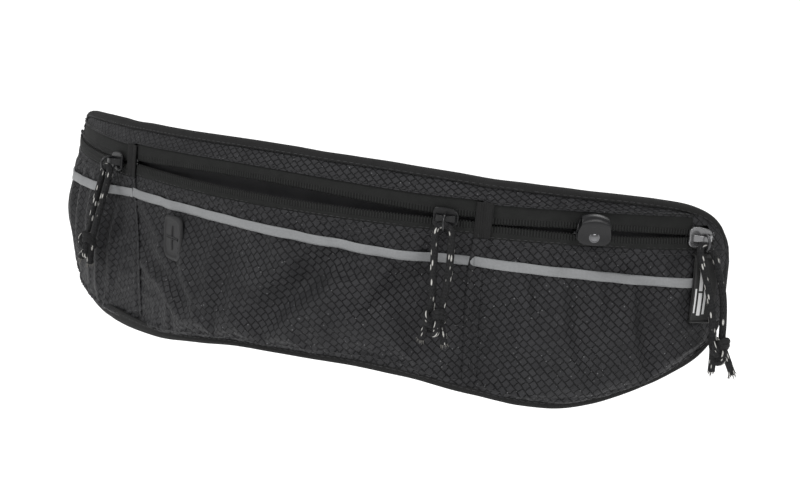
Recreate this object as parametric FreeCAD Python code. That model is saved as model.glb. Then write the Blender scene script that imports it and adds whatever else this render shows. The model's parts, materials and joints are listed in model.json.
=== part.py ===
import FreeCAD, Part
import math
import os

# Slim three-pocket waist pack, upright as worn. Millimetres.
# +Z is up, the front faces -Y, the wearer's waist is behind it at +Y.
# Everything is wrapped on one vertical waist curve whose axis stands at (0, R_REAR).
# The origin is the middle of the rear face, where the pack rests on the waist.

# ---- driving dimensions ------------------------------------------------------
R_REAR = 192.0            # radius of the rear face
R0 = 196.0                # radius of the pocket lining's front face, "off" counts from here
Z0 = -43.0                # height of the middle of the lower edge below the origin
ZIP_C, ZIP_S = 66.5, 65.0 # height of the centre zip line and of the side ones above the lower edge
ZIPS = {"left": ZIP_S, "center": ZIP_C, "right": ZIP_S}
GAP = 0.9                 # half gap between the two rows of teeth
PHI_DIV = 0.442           # angle of the two stitched dividers
PHI_END = 0.925           # angle where the outer zips stop
MARGIN = 5.0              # width of the bound edge
BULGE_C, BULGE_S = 9.6, 8.8   # how far the empty front panels stand out
SHELL = 0.8               # thickness of the front fabric with its seam layers
CORD_D = 3.0              # pull cord
WEB_W, WEB_T = 30.0, 1.6  # belt webbing
# outline of the pack: angle, lower edge, upper edge (from the lower edge's middle)
OUTLINE = [
    (-0.986, 42.0, 47.6), (-0.982, 36.4, 53.2), (-0.970, 29.4, 60.4), (-0.950, 23.4, 66.8),
    (-0.920, 18.0, 72.2), (-0.880, 12.6, 76.0), (-0.830, 7.2, 78.2), (-0.770, 1.8, 79.5),
    (-0.700, -2.4, 80.5), (-0.620, -4.9, 81.5), (-0.530, -6.3, 82.4), (-0.442, -6.9, 83.3),
    (-0.340, -6.5, 84.2), (-0.255, -4.8, 84.8), (-0.170, -2.4, 85.4), (-0.085, -0.3, 85.9),
    (0.000, 0.4, 86.0), (0.085, 0.7, 85.9), (0.170, 1.0, 85.5), (0.255, 0.3, 84.9),
    (0.340, -1.7, 84.1), (0.442, -4.9, 82.8), (0.530, -7.5, 81.8), (0.620, -8.4, 81.0),
    (0.700, -5.6, 80.4), (0.770, -0.8, 79.5), (0.830, 3.9, 78.3), (0.880, 8.9, 76.5),
    (0.920, 13.4, 73.7), (0.950, 18.4, 69.6), (0.970, 23.8, 64.6), (0.982, 30.0, 58.6),
    (0.986, 36.5, 52.5),
]
# the same outline MARGIN further in, where the front fabric is sewn down
INNER = [
    (-0.957, 42.6, 47.1), (-0.954, 37.6, 52.1), (-0.940, 30.9, 59.4), (-0.915, 24.4, 65.8),
    (-0.880, 18.8, 70.2), (-0.830, 12.9, 73.0), (-0.770, 7.4, 74.4), (-0.700, 2.9, 75.5),
    (-0.620, 0.3, 76.5), (-0.530, -1.2, 77.4), (-0.442, -1.8, 78.3), (-0.340, -1.4, 79.2),
    (-0.255, 0.3, 79.8), (-0.170, 2.6, 80.4), (-0.085, 4.6, 80.9), (0.000, 5.4, 81.0),
    (0.085, 5.7, 80.9), (0.170, 5.9, 80.5), (0.255, 5.2, 79.9), (0.340, 3.3, 79.1),
    (0.442, 0.2, 77.8), (0.530, -2.3, 76.8), (0.620, -3.1, 76.0), (0.700, -0.2, 75.4),
    (0.770, 4.6, 74.4), (0.830, 9.6, 73.1), (0.880, 14.9, 70.9), (0.915, 19.8, 67.7),
    (0.940, 25.4, 63.2), (0.954, 31.5, 57.4), (0.957, 36.6, 52.4),
]

os.makedirs("parts", exist_ok=True)
V = FreeCAD.Vector


def pt(phi, r, z):
    return V(r * math.sin(phi), R_REAR - r * math.cos(phi), z + Z0)


def lerp(table, phi, col):
    for p, q in zip(table, table[1:]):
        if phi <= q[0]:
            t = max(0.0, (phi - p[0]) / (q[0] - p[0]))
            return p[col] + t * (q[col] - p[col])
    return table[-1][col]


def arc_block(r0, r1, z0, z1, p0, p1):
    """A block bent on the waist curve: radii r0..r1, heights z0..z1, angles p0..p1."""
    a = Part.makePolygon([V(r0, 0, z0 + Z0), V(r1, 0, z0 + Z0), V(r1, 0, z1 + Z0), V(r0, 0, z1 + Z0), V(r0, 0, z0 + Z0)])
    s = Part.Face(a).revolve(V(0, 0, 0), V(0, 0, 1), math.degrees(p1 - p0))
    # radius direction for angle phi is (sin phi, -cos phi)
    s.rotate(V(0, 0, 0), V(0, 0, 1), math.degrees(p0) - 90.0)
    s.translate(V(0, R_REAR, 0))
    return s


def loft(sections):
    wires = [Part.makePolygon(s + [s[0]]) for s in sections]
    return Part.makeLoft(wires, True, True)


def plate(table, r0, r1):
    """A plate on the waist curve with the outline in table."""
    rows = list(table)
    return loft([[pt(p, r0, a), pt(p, r1, a), pt(p, r1, b), pt(p, r0, b)] for p, a, b in rows])


def angles(p0, p1, n):
    return [p0 + (p1 - p0) * i / n for i in range(n + 1)]


def strip(p0, p1, n, prof):
    """A strip of any section: prof(phi) gives its (radius, height) corners."""
    return loft([[pt(p, r, z) for r, z in prof(p)] for p in angles(p0, p1, n)])


nodes = {}

# ---- back panel, lining, bound edge ------------------------------------------
nodes["back_mesh_panel"] = plate(OUTLINE, R_REAR, R0 - 1.1)
nodes["pocket_lining"] = plate(INNER, R0 - 1.0, R0 - 0.2)
edge = plate(OUTLINE, R0 - 1.0, R0 + 0.7).cut(plate([(p + 0.001 * (p > 0.956) - 0.001 * (p < -0.956), a - 0.2, b + 0.2) for p, a, b in INNER], R0 - 3.0, R0 + 3.0))
nodes["edge_binding"] = edge.Solids[0] if len(edge.Solids) == 1 else edge

# ---- band of face fabric above the zips ---------------------------------------
BAND_C, BAND_S = 74.6, 73.2   # where the face fabric's fold meets the zip tapes


def band_low(p):
    """The fold steps down over the width of a divider seam."""
    t = min(1.0, max(0.0, (abs(p) - PHI_DIV + 0.012) / 0.024))
    return min(BAND_C + (BAND_S - BAND_C) * t, lerp(INNER, p, 2) - 1.0)


def band_prof(p):
    top, low = lerp(INNER, p, 2), band_low(p)
    return [(R0, top), (R0 + 2.4, low), (R0 + 3.3, low), (R0 + 0.9, top)]


ps = [-0.79, -0.74, -0.68, -0.62, -0.56, -0.51, -PHI_DIV - 0.012, -PHI_DIV + 0.012, -0.36, -0.29, -0.22, -0.15, -0.08]
ps = ps + [0.0] + [-p for p in reversed(ps)]
nodes["top_band"] = loft([[pt(p, r, z) for r, z in band_prof(p)] for p in ps])

# ---- zips: tapes and rows of teeth ---------------------------------------------
SECT = {"left": (-PHI_END, -PHI_DIV - 0.012), "center": (-PHI_DIV + 0.012, PHI_DIV - 0.012), "right": (PHI_DIV + 0.012, PHI_END)}
RT0, RT1 = R0 + 2.7, R0 + 3.3
for side, (p0, p1) in SECT.items():
    if side == "center":
        a0, a1 = p0, p1
    elif side == "left":
        a0, a1 = -0.86, p1
    else:
        a0, a1 = p0, 0.86
    ZIP = ZIPS[side]
    low_edge = ZIP - 5.8

    def tape_prof(p):
        hi = band_low(p) - 0.35 if abs(p) < 0.83 else band_low(p) - 0.2
        return [(RT0, ZIP + GAP + 1.3), (RT1, ZIP + GAP + 1.3), (RT1, hi), (RT0, hi)]
    nodes["upper_tape_" + side] = strip(a0, a1, 20 if side == "center" else 12, tape_prof)
    nodes["lower_tape_" + side] = arc_block(RT0, RT1, low_edge, ZIP - GAP - 1.3, p0, p1)
    nodes["upper_teeth_" + side] = arc_block(R0 + 2.2, R0 + 3.8, ZIP + GAP, ZIP + GAP + 1.2, p0 + 0.006, p1 - 0.006)
    nodes["lower_teeth_" + side] = arc_block(R0 + 2.2, R0 + 3.8, ZIP - GAP - 1.2, ZIP - GAP, p0 + 0.006, p1 - 0.006)

stops = []
for side, (p0, p1) in SECT.items():
    ZIP = ZIPS[side]
    stops.append(arc_block(R0 + 2.0, R0 + 4.0, ZIP - 2.2, ZIP + 2.2, p0 - 0.003, p0 + 0.005))
    stops.append(arc_block(R0 + 2.0, R0 + 4.0, ZIP - 2.2, ZIP + 2.2, p1 - 0.005, p1 + 0.003))
nodes["zip_end_stops"] = Part.makeCompound(stops)

# ---- front panels: fabric shells, open at the top under the zip -----------------
TOPZS = {k: v - 6.0 for k, v in ZIPS.items()}


def swell(p, p0, p1):
    """0 at a section's sewn ends, 1 over most of its width."""
    t = (p - p0) / (p1 - p0)
    return max(0.0, 1.0 - abs(2 * t - 1) ** 3.2)


def front_prof(p, p0, p1, bulge, TOPZ):
    s = swell(p, p0, p1)
    zb = lerp(INNER, p, 1) + 0.3
    top = TOPZ
    hgt = top - zb
    outer = []
    for k, f in ((0.0, 0.0), (0.18, 0.52), (0.42, 0.90), (0.66, 1.0), (0.86, 0.72), (0.96, 0.30)):
        base = 3.5 - 1.7 * min(1.0, k / 0.3)
        outer.append((R0 + base + (bulge - 1.8) * f * s, top - k * hgt))
    outer.append((R0 + 1.1, zb))
    inner = [(r - SHELL, z + (0.0 if i == 0 else 0.25)) for i, (r, z) in enumerate(outer[:-1])]
    inner.append((R0 + 0.1, zb))
    return outer + inner[::-1]


PAN = {"left": (-0.932, -PHI_DIV - 0.010, 12, BULGE_S), "center": (-PHI_DIV + 0.010, PHI_DIV - 0.010, 16, BULGE_C), "right": (PHI_DIV + 0.010, 0.932, 12, BULGE_S)}
for side, (p0, p1, n, bulge) in PAN.items():
    nodes["front_panel_" + side] = strip(p0, p1, n, lambda p: front_prof(p, p0, p1, bulge, TOPZS[side]))


# ---- reflective strips, one per section, sewn on the front panels ----------------
def strip_prof(p, p0, p1, bulge, z0, z1, side="center"):
    prof = front_prof(p, p0, p1, bulge, TOPZS[side])[:7]

    def at(z):
        for (ra, za), (rb, zb) in zip(prof, prof[1:]):
            if zb <= z <= za:
                return ra + (rb - ra) * (za - z) / (za - zb)
        return prof[0][0]
    return [(at(z1) + 0.30, z1), (at(z1) + 0.60, z1), (at(z0) + 0.60, z0), (at(z0) + 0.30, z0)]


for side, (p0, p1, n, bulge) in PAN.items():
    q0, q1 = (p0 if side != "left" else p0 + 0.02), (p1 if side != "right" else p1 - 0.02)
    hh = (50.6, 54.8) if side == "center" else (46.6, 50.6)
    pn = angles(p0, p1, n)
    ps = [p for p in pn if q0 - 1e-6 <= p <= q1 + 1e-6]
    nodes["reflective_strip_" + side] = loft([[pt(p, r, z) for r, z in strip_prof(p, p0, p1, bulge, *hh, side)] for p in ps])

# ---- divider seams ---------------------------------------------------------------
for side, s in (("left", -1), ("right", 1)):
    z0 = lerp(INNER, s * PHI_DIV, 1) + 0.4
    nodes["divider_seam_" + side] = arc_block(R0 + 0.1, R0 + 3.2, z0, BAND_S - 2.0, s * PHI_DIV - 0.0075, s * PHI_DIV + 0.0075)

# ---- earphone port: rubber patch on the centre panel, and its label ---------------
p0, p1, n, bulge = PAN["center"]
PORT_PHI, PORT_Z, PORT_W, PORT_H = -0.269, 39.3, 16.0, 19.0
rp = R0 + 1.8 + (bulge - 1.8) * 0.92 * swell(PORT_PHI, p0, p1) + 0.35
dphi = PORT_W / 2 / rp
tilt = 1.9


def port_prof(p):
    lo, hi = PORT_Z - PORT_H / 2, PORT_Z + PORT_H / 2
    a = strip_prof(p, p0, p1, bulge, lo, hi)
    b = strip_prof(p, p0, p1, bulge, lo, PORT_Z - 1.0)
    m = strip_prof(p, p0, p1, bulge, PORT_Z - 1.0, PORT_Z - 1.0)[0][0]
    rr = max(a[0][0], a[3][0], m) + 0.1
    return [(rr, hi), (rr + 1.1, hi), (rr + 1.1, lo), (rr, lo)]


port = strip(PORT_PHI - dphi, PORT_PHI + dphi, 4, port_prof)
rr = port_prof(PORT_PHI)[0][0]
slit = arc_block(rr - 2, rr + 4, PORT_Z - 5.5, PORT_Z + 5.5, PORT_PHI - 0.002, PORT_PHI + 0.002)
slit2 = arc_block(rr - 2, rr + 4, PORT_Z - 0.4, PORT_Z + 0.4, PORT_PHI - 5.0 / rp, PORT_PHI + 5.0 / rp)
nodes["earphone_port"] = port.cut(slit.fuse(slit2))

LAB0, LAB1, LAB_OFF = 0.876, 0.928, 6.5
lab = []
for r in (LAB_OFF, LAB_OFF + 0.7):
    lab.append(arc_block(R0 + r, R0 + r + 0.45, 31.5, 56.6, LAB0, LAB1))
nodes["side_label"] = lab[0].fuse(lab[1].fuse(arc_block(R0 + LAB_OFF, R0 + LAB_OFF + 1.15, 31.0, 31.5, LAB0, LAB1))).fuse(arc_block(R0 + 4.2, R0 + LAB_OFF + 1.15, 56.6, 57.2, LAB0, LAB1)).removeSplitter()

# ---- sliders ---------------------------------------------------------------------
BAR_OFF, RING_R, RING_D = 8.3, 3.2, 1.0
RING_OFF = BAR_OFF + 0.95
S = {"left": -0.502, "center": 0.366, "right": 0.889}
# the doubled cord: along the tangent, down, and out from the pack, at length factor 1
CORD_PTS = [(-5.0, -66.0, 12.4), (-3.2, -59.0, 12.7), (-1.9, -51.5, 12.5), (-2.4, -39.0, 12.3), (-3.1, -25.0, 11.8), (-3.3, -11.0, 10.6), (-3.0, 0.0, 9.25),
            (3.0, 0.0, 9.25), (3.3, -11.0, 10.6), (3.2, -25.0, 11.9), (2.5, -39.0, 12.4), (1.9, -51.5, 12.6), (3.3, -59.5, 12.8), (4.5, -67.5, 12.3)]
LEN_K = {"left": 0.65, "center": 0.69, "right": 0.77}
BOW = {"left": 0.6, "center": 0.8, "right": 3.2}
LEAN = {"left": -7.0, "center": 0.0, "right": 8.5}


def tube(points, radius, first=None):
    """Straight runs joined by tangent arcs, as one swept solid; prints its radii."""
    P = [V(*p) for p in points]
    edges, start, radii = [], P[0], []
    for a, b, c in zip(P, P[1:], P[2:]):
        u, w = (b - a), (c - b)
        la, lc = u.Length, w.Length
        u.normalize(); w.normalize()
        turn = math.acos(max(-1, min(1, u.dot(w))))
        t = 0.45 * min(la, lc)
        rad = t / math.tan(turn / 2)
        radii.append(round(rad, 1))
        s, e = b - u * t, b + w * t
        bis = (w - u); bis.normalize()
        ctr = b + bis * (rad / math.cos(turn / 2))
        mid = ctr - bis * rad
        if (s - start).Length > 1e-6:
            edges.append(Part.LineSegment(start, s).toShape())
        edges.append(Part.Arc(s, mid, e).toShape())
        start = e
    edges.append(Part.LineSegment(start, P[-1]).toShape())
    path = Part.Wire(edges)
    d = P[1] - P[0]
    circ = Part.Wire(Part.makeCircle(radius, P[0], d))
    body = path.makePipeShell([circ], True, False)
    vol = math.pi * radius ** 2 * path.Length
    print("tube radii", radii, "length", round(path.Length, 1), "volume ratio", round(body.Volume / vol, 4))
    return body


def local(phi, du, off, z):
    """A point du along the tangent from the spot at angle phi."""
    c = pt(phi, R0 + off, z)
    return c + V(math.cos(phi), math.sin(phi), 0) * du


for side, ph in S.items():
    ZIP = ZIPS[side]
    RING_Z = ZIP - 1.5
    L = 4.6 / (R0 + 3)                       # half length as an angle
    top = arc_block(R0 + 4.3, R0 + 5.4, ZIP - 4.0, ZIP + 4.0, ph - L, ph + L)
    bot = arc_block(R0 + 0.9, R0 + 1.8, ZIP - 4.0, ZIP + 4.0, ph - L, ph + L)
    nose = -1 if side != "left" else 1       # the side that closes the teeth leads the travel
    neck = arc_block(R0 + 1.8, R0 + 4.3, ZIP - 0.6, ZIP + 0.6, ph + nose * L * 0.35 - 0.005, ph + nose * L * 0.35 + 0.005)
    post1 = arc_block(R0 + 5.4, R0 + 8.9, ZIP - 0.6, ZIP + 0.6, ph - 0.018, ph - 0.012)
    post2 = arc_block(R0 + 5.4, R0 + 8.9, ZIP - 0.6, ZIP + 0.6, ph + 0.012, ph + 0.018)
    bar = arc_block(R0 + 7.7, R0 + 8.9, ZIP - 0.6, ZIP + 0.6, ph - 0.012, ph + 0.012)
    nodes["slider_" + side] = top.fuse([bot, neck, post1, post2, bar]).removeSplitter()
    # pull ring through the slider's bridge
    c = pt(ph, R0 + RING_OFF, RING_Z)
    nodes["pull_ring_" + side] = Part.makeTorus(RING_R, RING_D / 2, c, V(math.cos(ph), math.sin(ph), 0))
    # doubled cord over the ring's lowest wire, and the overhand knot that joins it
    zt = RING_Z - RING_R + RING_D / 2 + CORD_D / 2 + 0.05   # the bend lies on the wire
    k = LEN_K[side]
    route = [local(ph, du + LEAN[side] * (-dz / 52.0) ** 1.5 + BOW[side] * math.sin(math.pi * min(1.0, -dz / 52.0)), off, zt + dz * k) for du, dz, off in CORD_PTS]
    pts = [tuple(q) for q in route]
    nodes["pull_cord_" + side] = tube(pts, CORD_D / 2)
    kc = local(ph, LEAN[side] * 1.05, 13.2, zt - 54.0 * k)
    knot = Part.makeSphere(4.2)
    m = FreeCAD.Matrix(); m.scale(1.0, 0.86, 1.15)
    knot = knot.transformGeometry(m)
    knot.rotate(V(0, 0, 0), V(0, 0, 1), math.degrees(ph))
    knot.translate(kc)
    nodes["pull_knot_" + side] = knot
    print("slider", side, "bar", [round(x, 2) for x in pt(ph, R0 + BAR_OFF, ZIP)], "knot", [round(x, 2) for x in kc], "cord", [[round(x, 2) for x in q] for q in pts])

# ---- key tab: a folded loop of coated webbing that stands up out of the right zip, closed by a snap ----
KEY, ZIP = 0.655, ZIP_S
TAB_W, TAB_T, TAB_OFF, TAB_UP, TAB_DOWN, LOOP_R, KEY_R = 13.6, 2.4, 7.6, 5.0, 3.2, 2.9, 1.6
nodes["key_tab_root"] = arc_block(R0 + 1.1, R0 + 3.9, ZIP - 0.7, ZIP + 0.7, KEY - 0.034, KEY + 0.034)
nrm = V(math.sin(KEY), -math.cos(KEY), 0)
tan = V(math.cos(KEY), math.sin(KEY), 0)
c0 = pt(KEY, R0 + TAB_OFF, ZIP)
corner = c0 - tan * (TAB_W / 2) - V(0, 0, TAB_DOWN)
flat = Part.Face(Part.makePolygon([corner, corner + tan * TAB_W, corner + tan * TAB_W + nrm * TAB_T, corner + nrm * TAB_T, corner])).extrude(V(0, 0, TAB_DOWN + TAB_UP))
top = c0 + nrm * (TAB_T / 2) + V(0, 0, TAB_UP) - tan * (TAB_W / 2)
tab = flat.fuse(Part.makeCylinder(LOOP_R, TAB_W, top, tan)).cut(Part.makeCylinder(KEY_R, TAB_W + 4, top - tan * 2, tan))
nodes["key_tab"] = tab.removeSplitter()
snap = Part.makeCylinder(2.5, 0.9, c0 + nrm * (TAB_T + 0.05) - V(0, 0, 0.6), nrm)
nodes["key_snap"] = snap.makeFillet(0.35, [snap.Edges[0]])
print("key loop", [round(x, 3) for x in top + tan * (TAB_W / 2)], "pivot", [round(x, 3) for x in c0])

# ---- belt: two straps sewn on behind the ends, buckled behind the middle --------------
ZB = 45.0
RB = R_REAR - 10.0                           # the strap's outer face, 10 mm behind the rear face
for side, s in (("left", -1), ("right", 1)):
    # anchor stack, from the rear face to the strap
    q = sorted((s * 0.80, s * 0.90))
    nodes["belt_anchor_" + side] = arc_block(RB + 0.1, R_REAR - 0.1, ZB - WEB_W / 2, ZB + WEB_W / 2, q[0], q[1])
q = (-0.90, -0.150)
nodes["belt_strap_left"] = arc_block(RB - WEB_T, RB, ZB - WEB_W / 2, ZB + WEB_W / 2, *q)
q = (0.285, 0.90)
nodes["belt_strap_right"] = arc_block(RB - WEB_T, RB, ZB - WEB_W / 2, ZB + WEB_W / 2, *q)
# female half: a flat box with a slot for the strap's end bar and a mouth for the prongs
BW = 34.0
fem = arc_block(RB - 5.6, RB + 3.4, ZB - BW / 2 - 3, ZB + BW / 2 + 3, -0.145, 0.010)
cav = arc_block(RB - 3.4, RB + 1.2, ZB - BW / 2 - 0.6, ZB + BW / 2 + 0.6, -0.118, 0.020)
win1 = arc_block(RB - 3.4, RB + 1.2, ZB + 10, ZB + 30, -0.075, -0.035)
win2 = arc_block(RB - 3.4, RB + 1.2, ZB - 30, ZB - 10, -0.075, -0.035)
slot = arc_block(RB - 9.0, RB + 9.0, ZB - 15.6, ZB + 15.6, -0.138, -0.126)
nodes["buckle_socket"] = fem.cut([cav, win1, win2, slot])
# male half: bar frame that the right strap runs through, centre guide and two prongs
frm = arc_block(RB - 4.6, RB + 2.6, ZB - BW / 2 - 2, ZB + BW / 2 + 2, 0.020, 0.130)
hol = arc_block(RB - 6.0, RB + 6.0, ZB - 15.8, ZB + 15.8, 0.034, 0.062)
hol2 = arc_block(RB - 6.0, RB + 6.0, ZB - 15.8, ZB + 15.8, 0.080, 0.118)
guide = arc_block(RB - 2.4, RB + 0.2, ZB - 4.0, ZB + 4.0, -0.100, 0.020)
pr1 = arc_block(RB - 2.4, RB + 0.2, ZB + 8.0, ZB + 13.5, -0.095, 0.020)
pr2 = arc_block(RB - 2.4, RB + 0.2, ZB - 13.5, ZB - 8.0, -0.095, 0.020)
br1 = arc_block(RB - 2.4, RB + 0.2, ZB + 13.5, ZB + 17.2, -0.071, -0.040)
br2 = arc_block(RB - 2.4, RB + 0.2, ZB - 17.2, ZB - 13.5, -0.071, -0.040)
nodes["buckle_tongue"] = frm.cut([hol, hol2]).fuse([guide, pr1, pr2, br1, br2]).removeSplitter()
# the strap's loose end: round the tongue's middle bar and back under the right strap, through its keeper
nodes["strap_tail_right"] = arc_block(RB - WEB_T - 1.9, RB - WEB_T - 0.3, ZB - WEB_W / 2, ZB + WEB_W / 2, 0.132, 0.56)
kp = arc_block(RB - WEB_T - 3.8, RB + 1.8, ZB - WEB_W / 2 - 2.2, ZB + WEB_W / 2 + 2.2, 0.490, 0.515)
kp = kp.cut(arc_block(RB - WEB_T - 2.3, RB + 0.3, ZB - WEB_W / 2 - 0.6, ZB + WEB_W / 2 + 0.6, 0.47, 0.53))
nodes["strap_keeper"] = kp

for name, shape in nodes.items():
    ok = shape.isValid()
    bb = shape.BoundBox
    print("%-24s valid %s solids %d vol %.0f  x %.1f..%.1f y %.1f..%.1f z %.1f..%.1f" % (name, ok, len(shape.Solids), shape.Volume, bb.XMin, bb.XMax, bb.YMin, bb.YMax, bb.ZMin, bb.ZMax))
    shape.exportStep("parts/%s.step" % name)
print(len(nodes), "nodes")
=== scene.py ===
import bpy
import bmesh
import json
import math
import numpy as np
from mathutils import Vector, Matrix

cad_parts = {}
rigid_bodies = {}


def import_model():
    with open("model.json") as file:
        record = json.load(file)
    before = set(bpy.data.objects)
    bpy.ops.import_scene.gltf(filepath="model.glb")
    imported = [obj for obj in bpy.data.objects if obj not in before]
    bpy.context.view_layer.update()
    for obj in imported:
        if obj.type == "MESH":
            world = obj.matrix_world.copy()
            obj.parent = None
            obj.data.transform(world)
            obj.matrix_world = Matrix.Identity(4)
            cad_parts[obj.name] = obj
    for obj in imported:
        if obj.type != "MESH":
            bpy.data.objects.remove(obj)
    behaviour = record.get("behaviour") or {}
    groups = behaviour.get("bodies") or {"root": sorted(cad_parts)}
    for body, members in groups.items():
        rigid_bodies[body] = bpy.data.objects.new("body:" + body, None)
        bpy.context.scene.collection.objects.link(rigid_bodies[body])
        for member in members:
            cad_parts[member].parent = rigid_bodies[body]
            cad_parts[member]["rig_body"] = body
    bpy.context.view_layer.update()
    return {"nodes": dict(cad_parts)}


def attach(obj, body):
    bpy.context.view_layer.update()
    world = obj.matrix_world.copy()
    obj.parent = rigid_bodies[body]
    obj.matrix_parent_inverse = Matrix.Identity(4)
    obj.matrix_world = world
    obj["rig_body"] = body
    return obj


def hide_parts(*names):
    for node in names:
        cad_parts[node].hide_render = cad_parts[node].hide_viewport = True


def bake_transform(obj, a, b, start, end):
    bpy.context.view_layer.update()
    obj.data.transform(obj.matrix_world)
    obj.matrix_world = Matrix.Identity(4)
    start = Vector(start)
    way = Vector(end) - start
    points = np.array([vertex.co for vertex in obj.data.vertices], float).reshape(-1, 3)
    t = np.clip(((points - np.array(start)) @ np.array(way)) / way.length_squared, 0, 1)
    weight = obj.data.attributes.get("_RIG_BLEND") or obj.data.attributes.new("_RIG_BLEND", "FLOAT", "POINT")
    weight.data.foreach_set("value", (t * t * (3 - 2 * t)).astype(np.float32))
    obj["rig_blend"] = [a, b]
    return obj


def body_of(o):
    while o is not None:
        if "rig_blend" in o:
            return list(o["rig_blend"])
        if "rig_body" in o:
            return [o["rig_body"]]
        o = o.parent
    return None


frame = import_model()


scene = bpy.context.scene
R0 = 196.0
ZIPS = {"left": 65.0, "center": 66.5, "right": 65.0}
SLID = {"left": -0.502, "center": 0.366, "right": 0.889}
PHI_DIV = 0.442

# =====================================================================================
# coordinates: angle on the waist curve, distance out from the lining (mm), height (mm)
# =====================================================================================


def PN(phi, off, z):
    phi, off, z = np.broadcast_arrays(np.asarray(phi, float), np.asarray(off, float), np.asarray(z, float))
    r = (R0 + off) / 1000.0
    return np.stack([r * np.sin(phi), 0.192 - r * np.cos(phi), (z - 43.0) / 1000.0], -1)


def PV(phi, off, z):
    return Vector([float(v) for v in PN(phi, off, z)])


OUTLINE = np.array([
    (-0.986, 42.0, 47.6), (-0.982, 36.4, 53.2), (-0.970, 29.4, 60.4), (-0.950, 23.4, 66.8),
    (-0.920, 18.0, 72.2), (-0.880, 12.6, 76.0), (-0.830, 7.2, 78.2), (-0.770, 1.8, 79.5),
    (-0.700, -2.4, 80.5), (-0.620, -4.9, 81.5), (-0.530, -6.3, 82.4), (-0.442, -6.9, 83.3),
    (-0.340, -6.5, 84.2), (-0.255, -4.8, 84.8), (-0.170, -2.4, 85.4), (-0.085, -0.3, 85.9),
    (0.000, 0.4, 86.0), (0.085, 0.7, 85.9), (0.170, 1.0, 85.5), (0.255, 0.3, 84.9),
    (0.340, -1.7, 84.1), (0.442, -4.9, 82.8), (0.530, -7.5, 81.8), (0.620, -8.4, 81.0),
    (0.700, -5.6, 80.4), (0.770, -0.8, 79.5), (0.830, 3.9, 78.3), (0.880, 8.9, 76.5),
    (0.920, 13.4, 73.7), (0.950, 18.4, 69.6), (0.970, 23.8, 64.6), (0.982, 30.0, 58.6),
    (0.986, 36.5, 52.5),
])
INNER = np.array([
    (-0.957, 42.6, 47.1), (-0.954, 37.6, 52.1), (-0.940, 30.9, 59.4), (-0.915, 24.4, 65.8),
    (-0.880, 18.8, 70.2), (-0.830, 12.9, 73.0), (-0.770, 7.4, 74.4), (-0.700, 2.9, 75.5),
    (-0.620, 0.3, 76.5), (-0.530, -1.2, 77.4), (-0.442, -1.8, 78.3), (-0.340, -1.4, 79.2),
    (-0.255, 0.3, 79.8), (-0.170, 2.6, 80.4), (-0.085, 4.6, 80.9), (0.000, 5.4, 81.0),
    (0.085, 5.7, 80.9), (0.170, 5.9, 80.5), (0.255, 5.2, 79.9), (0.340, 3.3, 79.1),
    (0.442, 0.2, 77.8), (0.530, -2.3, 76.8), (0.620, -3.1, 76.0), (0.700, -0.2, 75.4),
    (0.770, 4.6, 74.4), (0.830, 9.6, 73.1), (0.880, 14.9, 70.9), (0.915, 19.8, 67.7),
    (0.940, 25.4, 63.2), (0.954, 31.5, 57.4), (0.957, 36.6, 52.4),
])


def smooth_table(table, phi, col):
    """Monotone cubic through the table."""
    x, y = table[:, 0], table[:, col]
    a = np.clip(np.asarray(phi, float), x[0], x[-1])
    h, d = np.diff(x), np.diff(y) / np.diff(x)
    m = np.zeros(len(x))
    for i in range(1, len(x) - 1):
        if d[i - 1] * d[i] > 0:
            w1, w2 = 2 * h[i] + h[i - 1], h[i] + 2 * h[i - 1]
            m[i] = (w1 + w2) / (w1 / d[i - 1] + w2 / d[i])
    m[0], m[-1] = d[0], d[-1]
    i = np.clip(np.searchsorted(x, a) - 1, 0, len(x) - 2)
    t = (a - x[i]) / h[i]
    return ((2 * t**3 - 3 * t**2 + 1) * y[i] + (t**3 - 2 * t**2 + t) * h[i] * m[i]
            + (-2 * t**3 + 3 * t**2) * y[i + 1] + (t**3 - t**2) * h[i] * m[i + 1])


def lo_o(p): return smooth_table(OUTLINE, p, 1)
def hi_o(p): return smooth_table(OUTLINE, p, 2)
def lo_i(p): return smooth_table(INNER, p, 1)
def hi_i(p): return smooth_table(INNER, p, 2)
def lo_v(p): return 0.5 * lo_o(p) + 0.5 * lo_i(p)
def hi_v(p): return 0.5 * hi_o(p) + 0.5 * hi_i(p)


def sstep(a, b, x):
    t = np.clip((np.asarray(x, float) - a) / (b - a), 0, 1)
    return t * t * (3 - 2 * t)


def tuck(ph, off, z):
    """The hem and tape are drawn in to the binding at the upper left corner."""
    return off * (1 - 0.42 * sstep(-0.76, -0.86, ph) * sstep(63, 70, z))


def noise(x, y, seed):
    T = np.random.RandomState(seed).rand(128, 128) * 2 - 1
    x, y = np.asarray(x, float), np.asarray(y, float)
    xi, yi = np.floor(x).astype(int), np.floor(y).astype(int)
    fx, fy = x - xi, y - yi
    fx, fy = fx * fx * (3 - 2 * fx), fy * fy * (3 - 2 * fy)
    a, b = T[xi % 128, yi % 128], T[(xi + 1) % 128, yi % 128]
    c, d = T[xi % 128, (yi + 1) % 128], T[(xi + 1) % 128, (yi + 1) % 128]
    return (a * (1 - fx) + b * fx) * (1 - fy) + (c * (1 - fx) + d * fx) * fy


def band_low(p):
    t = sstep(PHI_DIV - 0.012, PHI_DIV + 0.012, np.abs(p))
    return np.minimum(74.6 - 1.4 * t, hi_v(p) - 1.6)


def div_phi(side, z):
    """The stitched dividers aren't quite upright: the left one leans in towards the bottom."""
    if side == "left":
        return -np.interp(z, [2, 25, 46, 60, 73], [0.396, 0.414, 0.434, 0.442, 0.442])
    return np.interp(z, [2, 25, 48, 60, 73], [0.440, 0.434, 0.432, 0.440, 0.442])


# the open centre mouth: the upper lip arches up, the lower lip hangs forward
def arch(p):
    return 3.6 * np.clip(np.cos((np.asarray(p) + 0.05) / 0.40 * math.pi / 2), 0, 1) ** 1.3 * (np.abs(np.asarray(p) + 0.02) < 0.42)


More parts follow.
